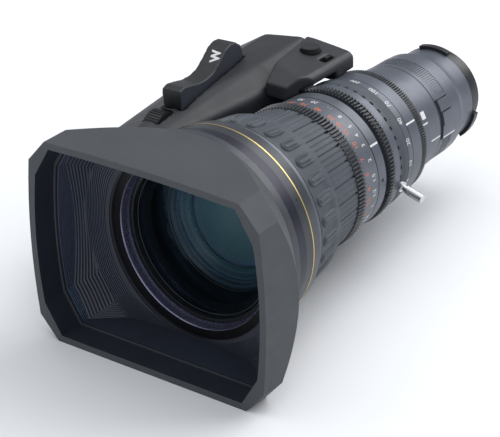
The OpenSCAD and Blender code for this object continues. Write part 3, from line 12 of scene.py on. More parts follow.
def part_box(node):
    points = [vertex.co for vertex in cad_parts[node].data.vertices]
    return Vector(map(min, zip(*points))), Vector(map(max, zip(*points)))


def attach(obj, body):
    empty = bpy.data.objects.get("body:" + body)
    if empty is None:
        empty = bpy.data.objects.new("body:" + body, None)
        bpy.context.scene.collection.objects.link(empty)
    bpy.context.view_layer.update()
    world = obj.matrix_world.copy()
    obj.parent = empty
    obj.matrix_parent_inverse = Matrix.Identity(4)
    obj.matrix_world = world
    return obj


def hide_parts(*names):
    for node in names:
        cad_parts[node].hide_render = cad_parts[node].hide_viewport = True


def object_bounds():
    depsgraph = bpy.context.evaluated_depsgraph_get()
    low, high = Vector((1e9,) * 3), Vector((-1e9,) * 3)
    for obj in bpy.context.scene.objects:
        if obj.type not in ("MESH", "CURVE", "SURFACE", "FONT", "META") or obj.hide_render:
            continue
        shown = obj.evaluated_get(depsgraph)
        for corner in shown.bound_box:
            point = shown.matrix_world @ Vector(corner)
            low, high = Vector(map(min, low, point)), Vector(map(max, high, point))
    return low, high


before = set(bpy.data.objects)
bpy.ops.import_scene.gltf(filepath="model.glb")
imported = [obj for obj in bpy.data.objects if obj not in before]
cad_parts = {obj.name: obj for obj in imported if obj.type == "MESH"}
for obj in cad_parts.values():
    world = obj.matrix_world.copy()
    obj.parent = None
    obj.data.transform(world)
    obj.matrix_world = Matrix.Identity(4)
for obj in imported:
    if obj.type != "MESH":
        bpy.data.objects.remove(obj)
cad_box = [[float(c) for c in corner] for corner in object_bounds()]

MM = 0.001
TAU = 2 * math.pi


# Camera

CAMERA_PLACE = Vector((0.58932, -0.90709, 0.49151))
CAMERA_AZIMUTH = math.radians(37.9785)
CAMERA_ELEVATION = math.radians(27.3893)
CAMERA_ROLL = math.radians(-1.9022)
SENSOR_W = 36.0
FOCAL_PX = 2399.17
IMAGE_W = 500.0


def make_camera():
    a, e, r = CAMERA_AZIMUTH, CAMERA_ELEVATION, CAMERA_ROLL
    back = Vector((math.sin(a) * math.cos(e), -math.cos(a) * math.cos(e), math.sin(e)))
    right0 = Vector((math.cos(a), math.sin(a), 0))
    up0 = back.cross(right0)
    right = right0 * math.cos(r) + up0 * math.sin(r)
    up = up0 * math.cos(r) - right0 * math.sin(r)
    data = bpy.data.cameras.new("camera")
    data.sensor_width = SENSOR_W
    data.lens = SENSOR_W * FOCAL_PX / IMAGE_W
    data.clip_start = 0.05
    data.clip_end = 20.0
    cam = bpy.data.objects.new("camera", data)
    turn = Matrix((right, up, back)).transposed().to_4x4()
    cam.matrix_world = Matrix.Translation(CAMERA_PLACE) @ turn
    bpy.context.scene.collection.objects.link(cam)
    bpy.context.scene.camera = cam


make_camera()


# Stations of the rings, read from the frame

def span(node):
    """The stations where a ring starts and ends, from its rear to its front."""
    low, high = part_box(node)
    return -high[1], -low[1]


# Materials

class Shader:
    """A small helper that adds nodes to a material and links them."""

    def __init__(self, name):
        self.mat = bpy.data.materials.new(name)
        self.mat.use_nodes = True
        self.tree = self.mat.node_tree
        self.bsdf = self.tree.nodes["Principled BSDF"]
        self.coords = self.add("ShaderNodeTexCoord").outputs["Object"]

    def add(self, kind, **props):
        node = self.tree.nodes.new(kind)
        for key, value in props.items():
            setattr(node, key, value)
        return node

    def link(self, a, b):
        self.tree.links.new(a, b)

    def put(self, node, index, value):
        socket = node.inputs[index]
        if isinstance(value, bpy.types.NodeSocket):
            self.link(value, socket)
        else:
            socket.default_value = value

    def math(self, op, a, b=0.0, clamp=False):
        node = self.add("ShaderNodeMath", operation=op, use_clamp=clamp)
        self.put(node, 0, a)
        self.put(node, 1, b)
        return node.outputs[0]

    def noise(self, scale, detail=3.0, rough=0.55, coords=None):
        node = self.add("ShaderNodeTexNoise")
        self.link(coords or self.coords, node.inputs["Vector"])
        node.inputs["Scale"].default_value = scale
        node.inputs["Detail"].default_value = detail
        node.inputs["Roughness"].default_value = rough
        return node.outputs["Fac"]

    def ramp(self, fac, low, high, a=0.0, b=1.0):
        node = self.add("ShaderNodeMapRange")
        self.put(node, 0, fac)
        for index, value in ((1, low), (2, high), (3, a), (4, b)):
            node.inputs[index].default_value = value
        return node.outputs[0]

    def mix(self, fac, a, b):
        node = self.add("ShaderNodeMix", data_type="RGBA")
        self.put(node, 0, fac)
        self.put(node, 6, a)
        self.put(node, 7, b)
        return node.outputs[2]

    def bump(self, height, distance, strength=1.0, before=None):
        node = self.add("ShaderNodeBump")
        node.inputs["Strength"].default_value = strength
        node.inputs["Distance"].default_value = distance
        self.link(height, node.inputs["Height"])
        if before is not None:
            self.link(before, node.inputs["Normal"])
        return node.outputs["Normal"]

    def polar(self):
        """Coordinates round the optical axis: the angle in turns, the radius and the station."""
        parts = self.add("ShaderNodeSeparateXYZ")
        self.link(self.coords, parts.inputs[0])
        x, y, z = parts.outputs
        angle = self.math("DIVIDE", self.math("ARCTAN2", z, x), TAU)
        radius = self.math("SQRT", self.math("ADD", self.math("MULTIPLY", x, x), self.math("MULTIPLY", z, z)))
        return angle, radius, self.math("MULTIPLY", y, -1.0)

    def edges(self, radius):
        """A mask that is 1 on sharp edges, from the rounded normal."""
        bevel = self.add("ShaderNodeBevel", samples=4)
        bevel.inputs["Radius"].default_value = radius
        plain = self.add("ShaderNodeNewGeometry")
        dot = self.add("ShaderNodeVectorMath", operation="DOT_PRODUCT")
        self.link(bevel.outputs[0], dot.inputs[0])
        self.link(plain.outputs["Normal"], dot.inputs[1])
        return self.ramp(dot.outputs["Value"], 0.985, 0.88)


def rgba(color):
    return (color[0], color[1], color[2], 1.0)


def shade(color, factor):
    return tuple(min(1.0, c * factor) for c in color)


def coated(name, color, rough, metallic=0.0, grain=0.0, grain_size=0.4, mottle=0.08, wear=None, wear_r=0.25,
           brushed=0.0, specular=0.5):
    """A painted, anodised or moulded surface: mottled colour, grain, uneven gloss and edge wear."""
    s = Shader(name)
    broad = s.noise(45.0, 4.0)
    fine = s.noise(1.0 / (grain_size * MM), 2.0)
    tint = s.mix(s.ramp(broad, 0.3, 0.7), rgba(shade(color, 1 - mottle)), rgba(shade(color, 1 + mottle)))
    speck = s.mix(s.ramp(fine, 0.62, 0.8, 0.0, 0.35), tint, rgba(shade(color, 1.5)))
    if wear:
        mask = s.math("MULTIPLY", s.edges(wear_r * MM), s.ramp(s.noise(420.0, 3.0), 0.42, 0.6))
        speck = s.mix(mask, speck, rgba(wear))
    s.link(speck, s.bsdf.inputs["Base Color"])
    smears = s.noise(110.0, 5.0, 0.65)
    s.link(s.ramp(smears, 0.3, 0.75, rough - 0.06, rough + 0.07), s.bsdf.inputs["Roughness"])
    normal = None
    if grain:
        normal = s.bump(fine, grain * MM)
    if brushed:
        angle, radius, station = s.polar()
        lines = s.add("ShaderNodeCombineXYZ")
        s.link(s.math("MULTIPLY", station, 9000.0), lines.inputs[0])
        s.link(s.math("MULTIPLY", radius, 9000.0), lines.inputs[1])
        s.link(s.math("MULTIPLY", angle, 14.0), lines.inputs[2])
        turned = s.noise(1.0, 2.0, 0.5, lines.outputs[0])
        normal = s.bump(turned, brushed * MM, before=normal)
    if normal is not None:
        s.link(normal, s.bsdf.inputs["Normal"])
    s.bsdf.inputs["Metallic"].default_value = metallic
    s.bsdf.inputs["Specular IOR Level"].default_value = specular
    return s.mat


def lined(name, outside, inside, rough):
    """The hood's plastic: satin outside, darker and bluer on what faces the optical axis, as painted shade inside the
    hood.
    """
    s = Shader(name)
    broad, fine = s.noise(45.0, 4.0), s.noise(2800.0, 2.0)
    spread_of = s.ramp(broad, 0.3, 0.7)
    outer = s.mix(spread_of, rgba(shade(outside, 0.94)), rgba(shade(outside, 1.06)))
    inner = s.mix(spread_of, rgba(shade(inside, 0.9)), rgba(shade(inside, 1.1)))
    facing, place = s.add("ShaderNodeSeparateXYZ"), s.add("ShaderNodeSeparateXYZ")
    s.link(s.add("ShaderNodeTexCoord").outputs["Normal"], facing.inputs[0])
    s.link(s.coords, place.inputs[0])
    outward = s.math("ADD", s.math("MULTIPLY", facing.outputs[0], place.outputs[0]),
                     s.math("MULTIPLY", facing.outputs[2], place.outputs[2]))
    # Faces turned to the optical axis take the darker, bluer colour: painted shade inside the hood.
    tint = s.mix(s.ramp(outward, -0.012, -0.006), inner, outer)
    wear_and_edge_sheen = s.math("MULTIPLY", s.edges(0.3 * MM), s.ramp(s.noise(420.0, 3.0), 0.4, 0.6))
    s.link(s.mix(s.math("MULTIPLY", wear_and_edge_sheen, 0.5), tint, rgba(shade(outside, 1.7))), s.bsdf.inputs["Base Color"])
    s.link(s.ramp(s.noise(110.0, 5.0, 0.65), 0.3, 0.75, rough - 0.06, rough + 0.07), s.bsdf.inputs["Roughness"])
    s.link(s.bump(fine, 0.02 * MM), s.bsdf.inputs["Normal"])
    s.bsdf.inputs["Specular IOR Level"].default_value = 0.4
    return s.mat


def barrel_finish(name, violet_tint, grey, black):
    """The front barrel: violet grey behind the hood, grey at the rear, and black on the front face and inside as
    painted shade in the gap behind the hood.
    """
    s = Shader(name)
    angle, radius, station = s.polar()
    cloud = s.ramp(s.noise(60.0, 4.0), 0.3, 0.7)
    front = s.mix(cloud, rgba(shade(violet_tint, 0.92)), rgba(shade(violet_tint, 1.08)))
    rear = s.mix(cloud, rgba(shade(grey, 0.94)), rgba(shade(grey, 1.06)))
    outside = s.mix(s.ramp(station, 0.1739, 0.1741), rear, front)
    # The front face and the inside are painted black: painted shade in the gap behind the hood.
    shown = s.math("MULTIPLY", s.ramp(radius, 0.0445, 0.0448), s.ramp(station, 0.19385, 0.19375))
    wear_and_edge_sheen = s.math("MULTIPLY", s.edges(0.2 * MM), s.ramp(s.noise(420.0, 3.0), 0.42, 0.6))
    outside = s.mix(wear_and_edge_sheen, outside, rgba(WORN))
    s.link(s.mix(shown, rgba(black), outside), s.bsdf.inputs["Base Color"])
    s.link(s.ramp(s.noise(110.0, 5.0, 0.65), 0.3, 0.75, 0.28, 0.4), s.bsdf.inputs["Roughness"])
    s.bsdf.inputs["Metallic"].default_value = 0.35
    return s.mat


def rocker_finish(name, top, side, edge):
    """The zoom rocker: black rubber on top, blue grey on its sides, with a painted highlight along its edges."""
    s = Shader(name)
    facing = s.add("ShaderNodeSeparateXYZ")
    s.link(s.add("ShaderNodeTexCoord").outputs["Normal"], facing.inputs[0])
    sideways = s.ramp(s.math("ABSOLUTE", facing.outputs[0]), 0.45, 0.75)
    grain = s.noise(2600.0, 2.0)
    rubber_tint = s.mix(s.ramp(grain, 0.4, 0.7), rgba(top), rgba(shade(top, 1.5)))
    shell_tint = s.mix(s.ramp(s.noise(60.0, 3.0), 0.3, 0.7), rgba(shade(side, 0.92)), rgba(shade(side, 1.08)))
    # A lighter colour on every edge: painted highlight.
    wear_and_edge_sheen = s.math("MULTIPLY", s.edges(0.9 * MM), 0.7)
    tint = s.mix(wear_and_edge_sheen, s.mix(sideways, rubber_tint, shell_tint), rgba(edge))
    s.link(tint, s.bsdf.inputs["Base Color"])
    s.link(s.ramp(s.noise(140.0, 4.0), 0.3, 0.7, 0.42, 0.56), s.bsdf.inputs["Roughness"])
    s.link(s.bump(grain, 0.02 * MM), s.bsdf.inputs["Normal"])
    return s.mat


WORN = (0.24, 0.26, 0.29)
HOOD_GREY = (0.058, 0.064, 0.072)
HOOD_INSIDE_SHADE = (0.017, 0.021, 0.033)
ANODISED = (0.100, 0.112, 0.138)
RUBBER = (0.058, 0.068, 0.084)
PLASTIC = (0.021, 0.023, 0.027)

mats = {
    "hood": lined("hood_plastic", HOOD_GREY, HOOD_INSIDE_SHADE, 0.58),
    "ring": coated("anodised_ring", ANODISED, 0.36, metallic=0.3, brushed=0.012, wear=WORN, wear_r=0.2,
                   specular=0.6),
    "waist": barrel_finish("front_barrel_finish", (0.018, 0.018, 0.034), (0.046, 0.051, 0.060), (0.008, 0.008, 0.009)),
    "collar": coated("collar_finish", (0.056, 0.061, 0.071), 0.4, metallic=0.3, brushed=0.008, wear=WORN, wear_r=0.2),
    "gear": coated("gear_plastic", (0.040, 0.044, 0.052), 0.42, grain=0.01, wear=WORN, wear_r=0.15),
    "black": coated("black_enamel", (0.012, 0.013, 0.015), 0.34, grain=0.008, wear=(0.08, 0.085, 0.09), wear_r=0.15),
    "rubber": coated("grip_rubber", RUBBER, 0.55, grain=0.02, grain_size=0.25, mottle=0.12, specular=0.45),
    "plastic": coated("grip_plastic", PLASTIC, 0.5, grain=0.035, grain_size=0.45, wear=(0.1, 0.1, 0.105)),
    "dark": coated("control_plastic", (0.012, 0.012, 0.014), 0.45, grain=0.015, grain_size=0.3),
    "metal": coated("bare_steel", (0.62, 0.63, 0.65), 0.24, metallic=1.0, brushed=0.006, mottle=0.04),
    "alloy": coated("bare_alloy", (0.50, 0.52, 0.56), 0.34, metallic=1.0, brushed=0.012, mottle=0.05),
    "gold": coated("gold_ring", (0.60, 0.46, 0.20), 0.38, metallic=1.0, brushed=0.008, mottle=0.06),
    "liner": coated("liner_plastic", (0.028, 0.034, 0.052), 0.5, grain=0.01, grain_size=0.3),
    # Liner colours: the lighter rib colour is painted highlight, the darker groove colour is painted shade, and the
    # bright blue corner colour is painted light on the lower corner facet.
    "liner_rib_painted_highlight": coated("liner_rib_painted_highlight", (0.052, 0.066, 0.105), 0.5, grain=0.01, grain_size=0.3),
    "liner_groove_painted_shade": coated("liner_groove_painted_shade", (0.008, 0.009, 0.014), 0.6, grain=0.01, grain_size=0.3),
    "liner_lit": coated("liner_corner_painted_highlight", (0.055, 0.085, 0.13), 0.5, grain=0.02, grain_size=0.3),
    "violet": coated("violet_anodised", (0.22, 0.22, 0.33), 0.26, metallic=0.8, specular=0.8),
    "line": coated("shadow_line", (0.004, 0.004, 0.005), 0.6, grain=0.005),
    "rocker": rocker_finish("rocker_finish", (0.010, 0.011, 0.012), (0.034, 0.037, 0.052), (0.10, 0.105, 0.13)),
    "inside": coated("matt_black", (0.006, 0.006, 0.007), 0.7, grain=0.02, grain_size=0.3),
    "brass": coated("gear_brass", (0.62, 0.46, 0.2), 0.33, metallic=1.0, brushed=0.006),
    "board": coated("board_green", (0.01, 0.12, 0.05), 0.4, grain=0.01),
}

CAD_LOOKS = {
    "hood": ["lens_hood"],
    "alloy": ["cam_tube"],
    "waist": ["front_barrel"],
    "black": ["mount_flange", "hood_clamp_screw", "back_focus_lock", "front_retainer"],
    "gold": ["gold_trim_ring"],
    "collar": ["hood_clamp_ring"],
    "ring": ["focus_sleeve", "main_tube", "relay_tube", "focus_index_ring", "zoom_sleeve",
             "zoom_index_ring", "back_focus_ring", "macro_index_ring", "macro_ring", "macro_button", "rear_housing"],
    "gear": ["focus_gear", "zoom_gear", "iris_ring"],
    "rubber": ["focus_rubber", "zoom_rubber"],
    "inside": ["focus_cell", "variator_cell", "compensator_cell", "relay_cell", "iris_housing"]
              + ["iris_blade_%d" % i for i in range(1, 7)],
    "metal": ["zoom_lever", "zoom_pin", "mount_screws", "rocker_pin", "grip_screws", "zoom_motor", "iris_motor"],
    "plastic": ["grip_shell", "grip_base", "control_panel"],
    "dark": ["return_button", "record_button", "mode_switch", "speed_dial", "cable_gland"],
    "rocker": ["zoom_rocker"],
    "brass": ["zoom_drive_gear", "iris_drive_gear"],
    "board": ["circuit_board"],
}


def dress(node, mat):
    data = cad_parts[node].data
    data.materials.clear()
    data.materials.append(mat)


for look, nodes in CAD_LOOKS.items():
    for node in nodes:
        dress(node, mats[look])


def coated_glass(name, tint, reflect, gloss):
    """Lens glass: clear, with a faint coloured reflection that grows towards its rim."""
    s = Shader(name)
    clear = s.add("ShaderNodeBsdfTransparent")
    shine = s.add("ShaderNodeBsdfGlossy")
    facing = s.add("ShaderNodeLayerWeight")
    facing.inputs["Blend"].default_value = 0.5
    s.link(s.mix(s.ramp(s.noise(30.0, 2.0), 0.3, 0.7), rgba(tint), rgba(shade(tint, 0.96))), clear.inputs["Color"])
    s.link(s.mix(s.ramp(s.noise(12.0, 2.0), 0.4, 0.6), rgba(reflect), rgba(shade(reflect, 0.8))), shine.inputs["Color"])
    s.link(s.ramp(s.noise(200.0, 2.0), 0.3, 0.7, 0.02, 0.05), shine.inputs["Roughness"])
    grow = s.math("MULTIPLY", s.math("POWER", facing.outputs["Facing"], 4.0), 0.25)
    blend = s.add("ShaderNodeMixShader")
    s.link(s.math("ADD", grow, gloss), blend.inputs[0])
    s.link(clear.outputs[0], blend.inputs[1])
    s.link(shine.outputs[0], blend.inputs[2])
    s.link(blend.outputs[0], s.tree.nodes["Material Output"].inputs["Surface"])
    return s.mat


GLASS_NODES = {
    "front_element": ((0.93, 0.97, 1.0), (0.45, 0.75, 1.0), 0.015),
    "focus_element": ((0.70, 0.92, 0.90), (0.30, 0.95, 0.85), 0.05),
    "variator_element": ((0.70, 0.92, 0.85), (0.45, 0.8, 1.0), 0.05),
    "compensator_element": ((0.70, 0.92, 0.85), (0.9, 0.4, 0.5), 0.05),
    "relay_element": ((0.70, 0.92, 0.85), (0.4, 0.9, 0.7), 0.05),
}
for node, (tint, reflect, gloss) in GLASS_NODES.items():
    dress(node, coated_glass("glass_" + node, tint, reflect, gloss))


def soften(node, voxel, rounds):
    """Rounds the moulded edges of a CAD piece."""
    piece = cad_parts[node]
    remesh = piece.modifiers.new("remesh", "REMESH")
    remesh.mode = "VOXEL"
    remesh.voxel_size = voxel * MM
    remesh.use_smooth_shade = True
    smooth = piece.modifiers.new("smooth", "SMOOTH")
    smooth.factor = 0.5
    smooth.iterations = rounds


soften("control_panel", 0.45, 24)
soften("grip_shell", 0.6, 12)
soften("zoom_rocker", 0.35, 8)


# Small mesh tools: a point on the barrel is (radius, angle, station)

def at(radius, angle, station):
    """A point from its radius, its angle in radians seen from the front, and its station."""
    return Vector((radius * math.cos(angle), -station, radius * math.sin(angle)))


def make(name, verts, faces, mat, body, smooth=False, replaces=()):
    mesh = bpy.data.meshes.new(name)
    mesh.from_pydata([tuple(v) for v in verts], [], faces)
    bm = bmesh.new()
    bm.from_mesh(mesh)
    bmesh.ops.recalc_face_normals(bm, faces=bm.faces)
    bm.to_mesh(mesh)
    bm.free()
    mesh.polygons.foreach_set("use_smooth", [smooth] * len(mesh.polygons))
    mesh.update()
    mesh.materials.append(mat)
    piece = bpy.data.objects.new(name, mesh)
    bpy.context.scene.collection.objects.link(piece)
    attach(piece, body)
    if replaces:
        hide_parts(*replaces)
    return piece


def loops_to_faces(rows, count, closed_rows=True):
    """Quads between rows of points that run round in a closed loop; the last row joins the first."""
    faces = []
    total = rows if closed_rows else rows - 1
    for j in range(total):
        k = (j + 1) % rows
        for i in range(count):
            n = (i + 1) % count
            faces.append((j * count + i, j * count + n, k * count + n, k * count + i))
    return faces


def turned(name, profile, mat, body, slot, steps=180, smooth=True, replaces=()):
    """A closed ring whose section is a list of (radius, station) in millimetres."""
    verts = [at(r * MM, TAU * i / steps, s * MM) for r, s in profile for i in range(steps)]
    piece = make(name, verts, loops_to_faces(len(profile), steps), mat, body, smooth, replaces)
    return sharpen(piece)


def sharpen(piece, angle=30.0):
    """Smooth shading with sharp edges kept."""
    mesh = piece.data
    bm = bmesh.new()
    bm.from_mesh(mesh)
    limit = math.radians(angle)
    for edge in bm.edges:
        edge.smooth = not (len(edge.link_faces) == 2 and edge.calc_face_angle(0.0) > limit)
    bm.to_mesh(mesh)
    bm.free()
    mesh.polygons.foreach_set("use_smooth", [True] * len(mesh.polygons))
    return piece


def relief(name, angles, stations, outer, inner, mat, body, replaces=()):
    """A closed ring whose outside follows outer(angle, station) and whose inside follows inner(station)."""
    count = len(angles)
    verts = [at(outer(a, s) * MM, a, s * MM) for s in stations for a in angles]
    verts += [at(inner(s) * MM, a, s * MM) for s in reversed(stations) for a in angles]
    rows = 2 * len(stations)
    piece = make(name, verts, loops_to_faces(rows, count), mat, body, True, replaces)
    return sharpen(piece, 40.0)


def ease(x, low, high):
    t = min(1.0, max(0.0, (x - low) / (high - low)))
    return t * t * (3 - 2 * t)


def spread(a, b, step):
    n = max(1, round((b - a) / step))
    return [a + (b - a) * i / n for i in range(n + 1)]


# Paints for marks

def paint(name, color):
    s = Shader(name)
    flecks = s.noise(900.0, 3.0)
    s.link(s.mix(s.ramp(flecks, 0.35, 0.65), rgba(shade(color, 0.88)), rgba(color)), s.bsdf.inputs["Base Color"])
    s.link(s.ramp(s.noise(500.0), 0.3, 0.7, 0.4, 0.6), s.bsdf.inputs["Roughness"])
    return s.mat


white = paint("white_paint", (0.78, 0.79, 0.80))
orange = paint("orange_paint", (0.72, 0.16, 0.05))
red = paint("red_paint", (0.62, 0.07, 0.06))
LIFT = 0.03


def patch(name, a0, a1, s0, s1, radius, mat, body, height=LIFT):
    """A thin curved plate of paint; angles in degrees, sizes in millimetres; radius is a function of the station."""
    steps = max(1, round(abs(a1 - a0) / 2))
    verts = []
    for lift in (-LIFT, height):
        for s in (s0, s1):
            for i in range(steps + 1):
                verts.append(at((radius(s) + lift) * MM, math.radians(a0 + (a1 - a0) * i / steps), s * MM))
    n = steps + 1
    faces = []
    for i in range(steps):
        low, high = i, 2 * n + i
        faces.append((low, low + 1, low + n + 1, low + n))
        faces.append((high, high + n, high + n + 1, high + 1))
        faces.append((low, high, high + 1, low + 1))
        faces.append((low + n, low + n + 1, high + n + 1, high + n))
    faces.append((0, n, 3 * n, 2 * n))
    faces.append((n - 1, 3 * n - 1, 4 * n - 1, 2 * n - 1))
    return make(name, verts, faces, mat, body)


def lettering(name, marks, radius, mat, body):
    """Plain numbers on a ring, with their tops to the front. Marks are (text, angle, station, size)."""
    verts, faces = [], []
    for text, angle, station, size in marks:
        curve = bpy.data.curves.new("mark", "FONT")
        curve.body = text
        curve.size = size * MM
        curve.align_x = "CENTER"
        curve.align_y = "CENTER"
        curve.extrude = LIFT * MM
        curve.resolution_u = 3
        holder = bpy.data.objects.new("mark", curve)
        bpy.context.scene.collection.objects.link(holder)
        bpy.context.view_layer.update()
        flat = bpy.data.meshes.new_from_object(holder.evaluated_get(bpy.context.evaluated_depsgraph_get()))
        base = len(verts)
        for v in flat.vertices:
            s = station + v.co.y / MM
            r = radius(s)
            verts.append(at(r * MM + v.co.z, math.radians(angle) + v.co.x / (r * MM), s * MM))
        faces += [tuple(base + i for i in p.vertices) for p in flat.polygons]
        bpy.data.objects.remove(holder)
        bpy.data.curves.remove(curve)
        bpy.data.meshes.remove(flat)
    return make(name, verts, faces, mat, body)


def line_between(p, q):
    """A radius function that runs straight between two (station, radius) points."""
    return lambda s: p[1] + (q[1] - p[1]) * (s - p[0]) / (q[0] - p[0])


def flat_radius(r):
    return lambda s: r


# Focus rubber: ribs behind, raised pads with a ridge in front

PADS = 28
PAD_PHASE = math.radians(8.5)
RUBBER_S = tuple(v / MM for v in span("focus_rubber"))
STEP_S = 139.5
RUBBER_REAR_R, RUBBER_MID_R = 35.3, 37.2
PAD_REAR_R, PAD_FRONT_R = 40.3, 43.2
PAD_W, PAD_H, PAD_TIP = 5.4, 1.0, 155.1
RIBS_PER_PAD = 3


def rubber_radius(angle, s):
    turn = (angle - PAD_PHASE) / TAU * PADS
    across = (turn - round(turn)) * TAU / PADS
    edge = STEP_S + 0.8 * (0.5 - 0.5 * math.cos(across * PADS))
    rear = RUBBER_REAR_R + (RUBBER_MID_R - RUBBER_REAR_R) * (s - RUBBER_S[0]) / (STEP_S - RUBBER_S[0])
    rib = turn * RIBS_PER_PAD + 0.5
    offset = abs(rib - round(rib)) / RIBS_PER_PAD * TAU / PADS * rear
    deep = round(rib) % RIBS_PER_PAD == 0
    groove = (0.5 if deep else 0.28) * (1 - ease(offset, 0.16, 0.42))
    if deep:
        groove += 0.7 * (1 - ease(offset, 0.45, 0.7)) * (1 - ease(s, 119.2, 120.2))
    rear -= groove * (1 - ease(s, edge - 1.6, edge - 0.4))
    front = PAD_REAR_R + (PAD_FRONT_R - PAD_REAR_R) * (s - STEP_S) / (RUBBER_S[1] - STEP_S)
    u = across * front
    tip = PAD_TIP - PAD_W / 2
    d = PAD_W / 2 - (abs(u) if s < tip else math.hypot(u, s - tip))
    pad = PAD_H * ease(d, -0.15, 0.55)
    ring = 0.55 * math.exp(-((d - 1.45) / 0.36) ** 2) * ease(s, 143.5, 146.0)
    merge = PAD_H * (1 - ease(s, 141.5, 147.0))
    front += max(pad, merge) - ring
    mix = ease(s, edge - 0.25, edge + 0.45)
    return rear + (front - rear) * mix


RUBBER_CORE = ((117.7, 33.52), (137.7, 35.94), (139.5, 35.94), (141.3, 37.84), (158.1, 41.42))


def rubber_inside(s):
    """The inside of the rubber, which follows the sleeve that carries it."""
    for (s0, r0), (s1, r1) in zip(RUBBER_CORE, RUBBER_CORE[1:]):
        if s <= s1:
            break
    return r0 + (r1 - r0) * (s - s0) / (s1 - s0)


rubber_angles = [TAU * i / (PADS * 36) for i in range(PADS * 36)]
rubber_stations = (spread(RUBBER_S[0], 121.0, 0.5) + spread(122.0, 137.5, 1.7) + spread(137.9, 141.5, 0.24)
                   + spread(142.0, 151.5, 0.9) + spread(151.8, RUBBER_S[1], 0.24))
relief("focus_grip_skin", rubber_angles, rubber_stations, rubber_radius, rubber_inside, mats["rubber"],
       "focus_ring", ("focus_rubber",))


# Zoom rubber: notches along its front edge and fine ribs behind them

ZOOM_S = tuple(v / MM for v in span("zoom_rubber"))
ZOOM_R = 33.1
NOTCHES = 42
FINE_RIBS = 5


def zoom_radius(angle, s):
    turn = angle / TAU * NOTCHES
    across = abs(turn - round(turn)) * TAU / NOTCHES * ZOOM_R
    notch = 0.85 * (1 - ease(across, 0.75, 1.0)) * ease(s, ZOOM_S[1] - 2.3, ZOOM_S[1] - 1.9)
    wave = math.cos(turn * FINE_RIBS * TAU)
    fine = 0.16 * ease(wave, -0.2, 0.4) * ease(s, 74.0, 74.4) * (1 - ease(s, 77.6, 78.0))
    border = 0.12 * (1 - ease(s, 73.3, 73.6))
    return ZOOM_R - 0.12 - notch + fine + border


zoom_inner = (min(v.co.x ** 2 + v.co.z ** 2 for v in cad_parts["zoom_rubber"].data.vertices) ** 0.5) / MM
zoom_angles = [TAU * i / (NOTCHES * 24) for i in range(NOTCHES * 24)]
zoom_stations = [ZOOM_S[0], 73.3, 73.6, 74.0, 74.4, 77.6, 78.0, 78.9, 79.3, 80.0, 80.6, ZOOM_S[1]]
relief("zoom_grip_skin", zoom_angles, zoom_stations, zoom_radius, lambda s: zoom_inner, mats["rubber"],
       "zoom_ring", ("zoom_rubber",))


# Hood liner: ribs round the inside of the hood, which change from the rectangle to the round throat

HOOD_HALF = (62.5, 49.4)
HOOD_BOW = (2.3, 1.2)
LINER_INSET = 4.5
LINER_CORNER = (8.8, 14.3)
LINER_FRONT_S, LINER_BACK_S = 213.9, 200.4
CONE_R, CONE_S, CONE_SLOPE = 49.6, 189.95, 0.839
THROAT_R, THROAT_S, FUNNEL_SLOPE = 45.5, 195.7, 4 / 17
WALL_RIBS, BACK_RIBS = 12, 17
RIB_H = 0.5
RIBBED_SHARE = 0.86
LINER_FLOOR = -44.8
LIT_CORNER = range(104, 108)
MIN_FALL = 0.3
PLAIN, RIB, GROOVE, LIT = range(4)


def liner_outline(inset):
    """Points of the hood's inner outline, with bowed sides and top and a flat base."""
    w, h = HOOD_HALF[0] - inset, HOOD_HALF[1] - inset
    cw, ch = LINER_CORNER
    ts = [i / 4 for i in range(-4, 5)]
    bow = lambda half, b, t: half + b * (1 - t * t)
    points = [(bow(w, HOOD_BOW[0], t), t * (h - ch)) for t in ts]
    points += [(-t * (w - cw), bow(h, HOOD_BOW[1], t)) for t in ts]
    points += [(-bow(w, HOOD_BOW[0], t), -t * (h - ch)) for t in ts]
    points += [(-(w - cw) + (w - cw) * 2 * i / 8, -h) for i in range(9)]
    dense = []
    for p, q in zip(points, points[1:] + points[:1]):
        dense += [(p[0] + (q[0] - p[0]) * k / 4, p[1] + (q[1] - p[1]) * k / 4) for k in range(4)]
    return dense


LINER_BASE = liner_outline(LINER_INSET)


def back_station(r):
    """The station of the hood's back wall at a radius: a shallow funnel inside a steeper cone."""
    return max(THROAT_S + (r - THROAT_R) * FUNNEL_SLOPE + 0.35, CONE_S + (r - CONE_R) / CONE_SLOPE + 0.3)


def liner_wall(s, inset):
    rows = []
    for x, z in LINER_BASE:
        r = math.hypot(x, z)
        k = 1 - (inset if z > LINER_FLOOR or inset < 0 else 0.0) / r
        rows.append(Vector((x * k, -max(s, back_station(r)), z * k)) * MM)
    return rows


def liner_back(t, lift):
    rows = []
    for x, z in LINER_BASE:
        r = math.hypot(x, z)
        now = r + (min(THROAT_R, r - MIN_FALL) - r) * t
        rows.append(Vector((x * now / r, -(back_station(now) + lift), z * now / r)) * MM)
    return rows


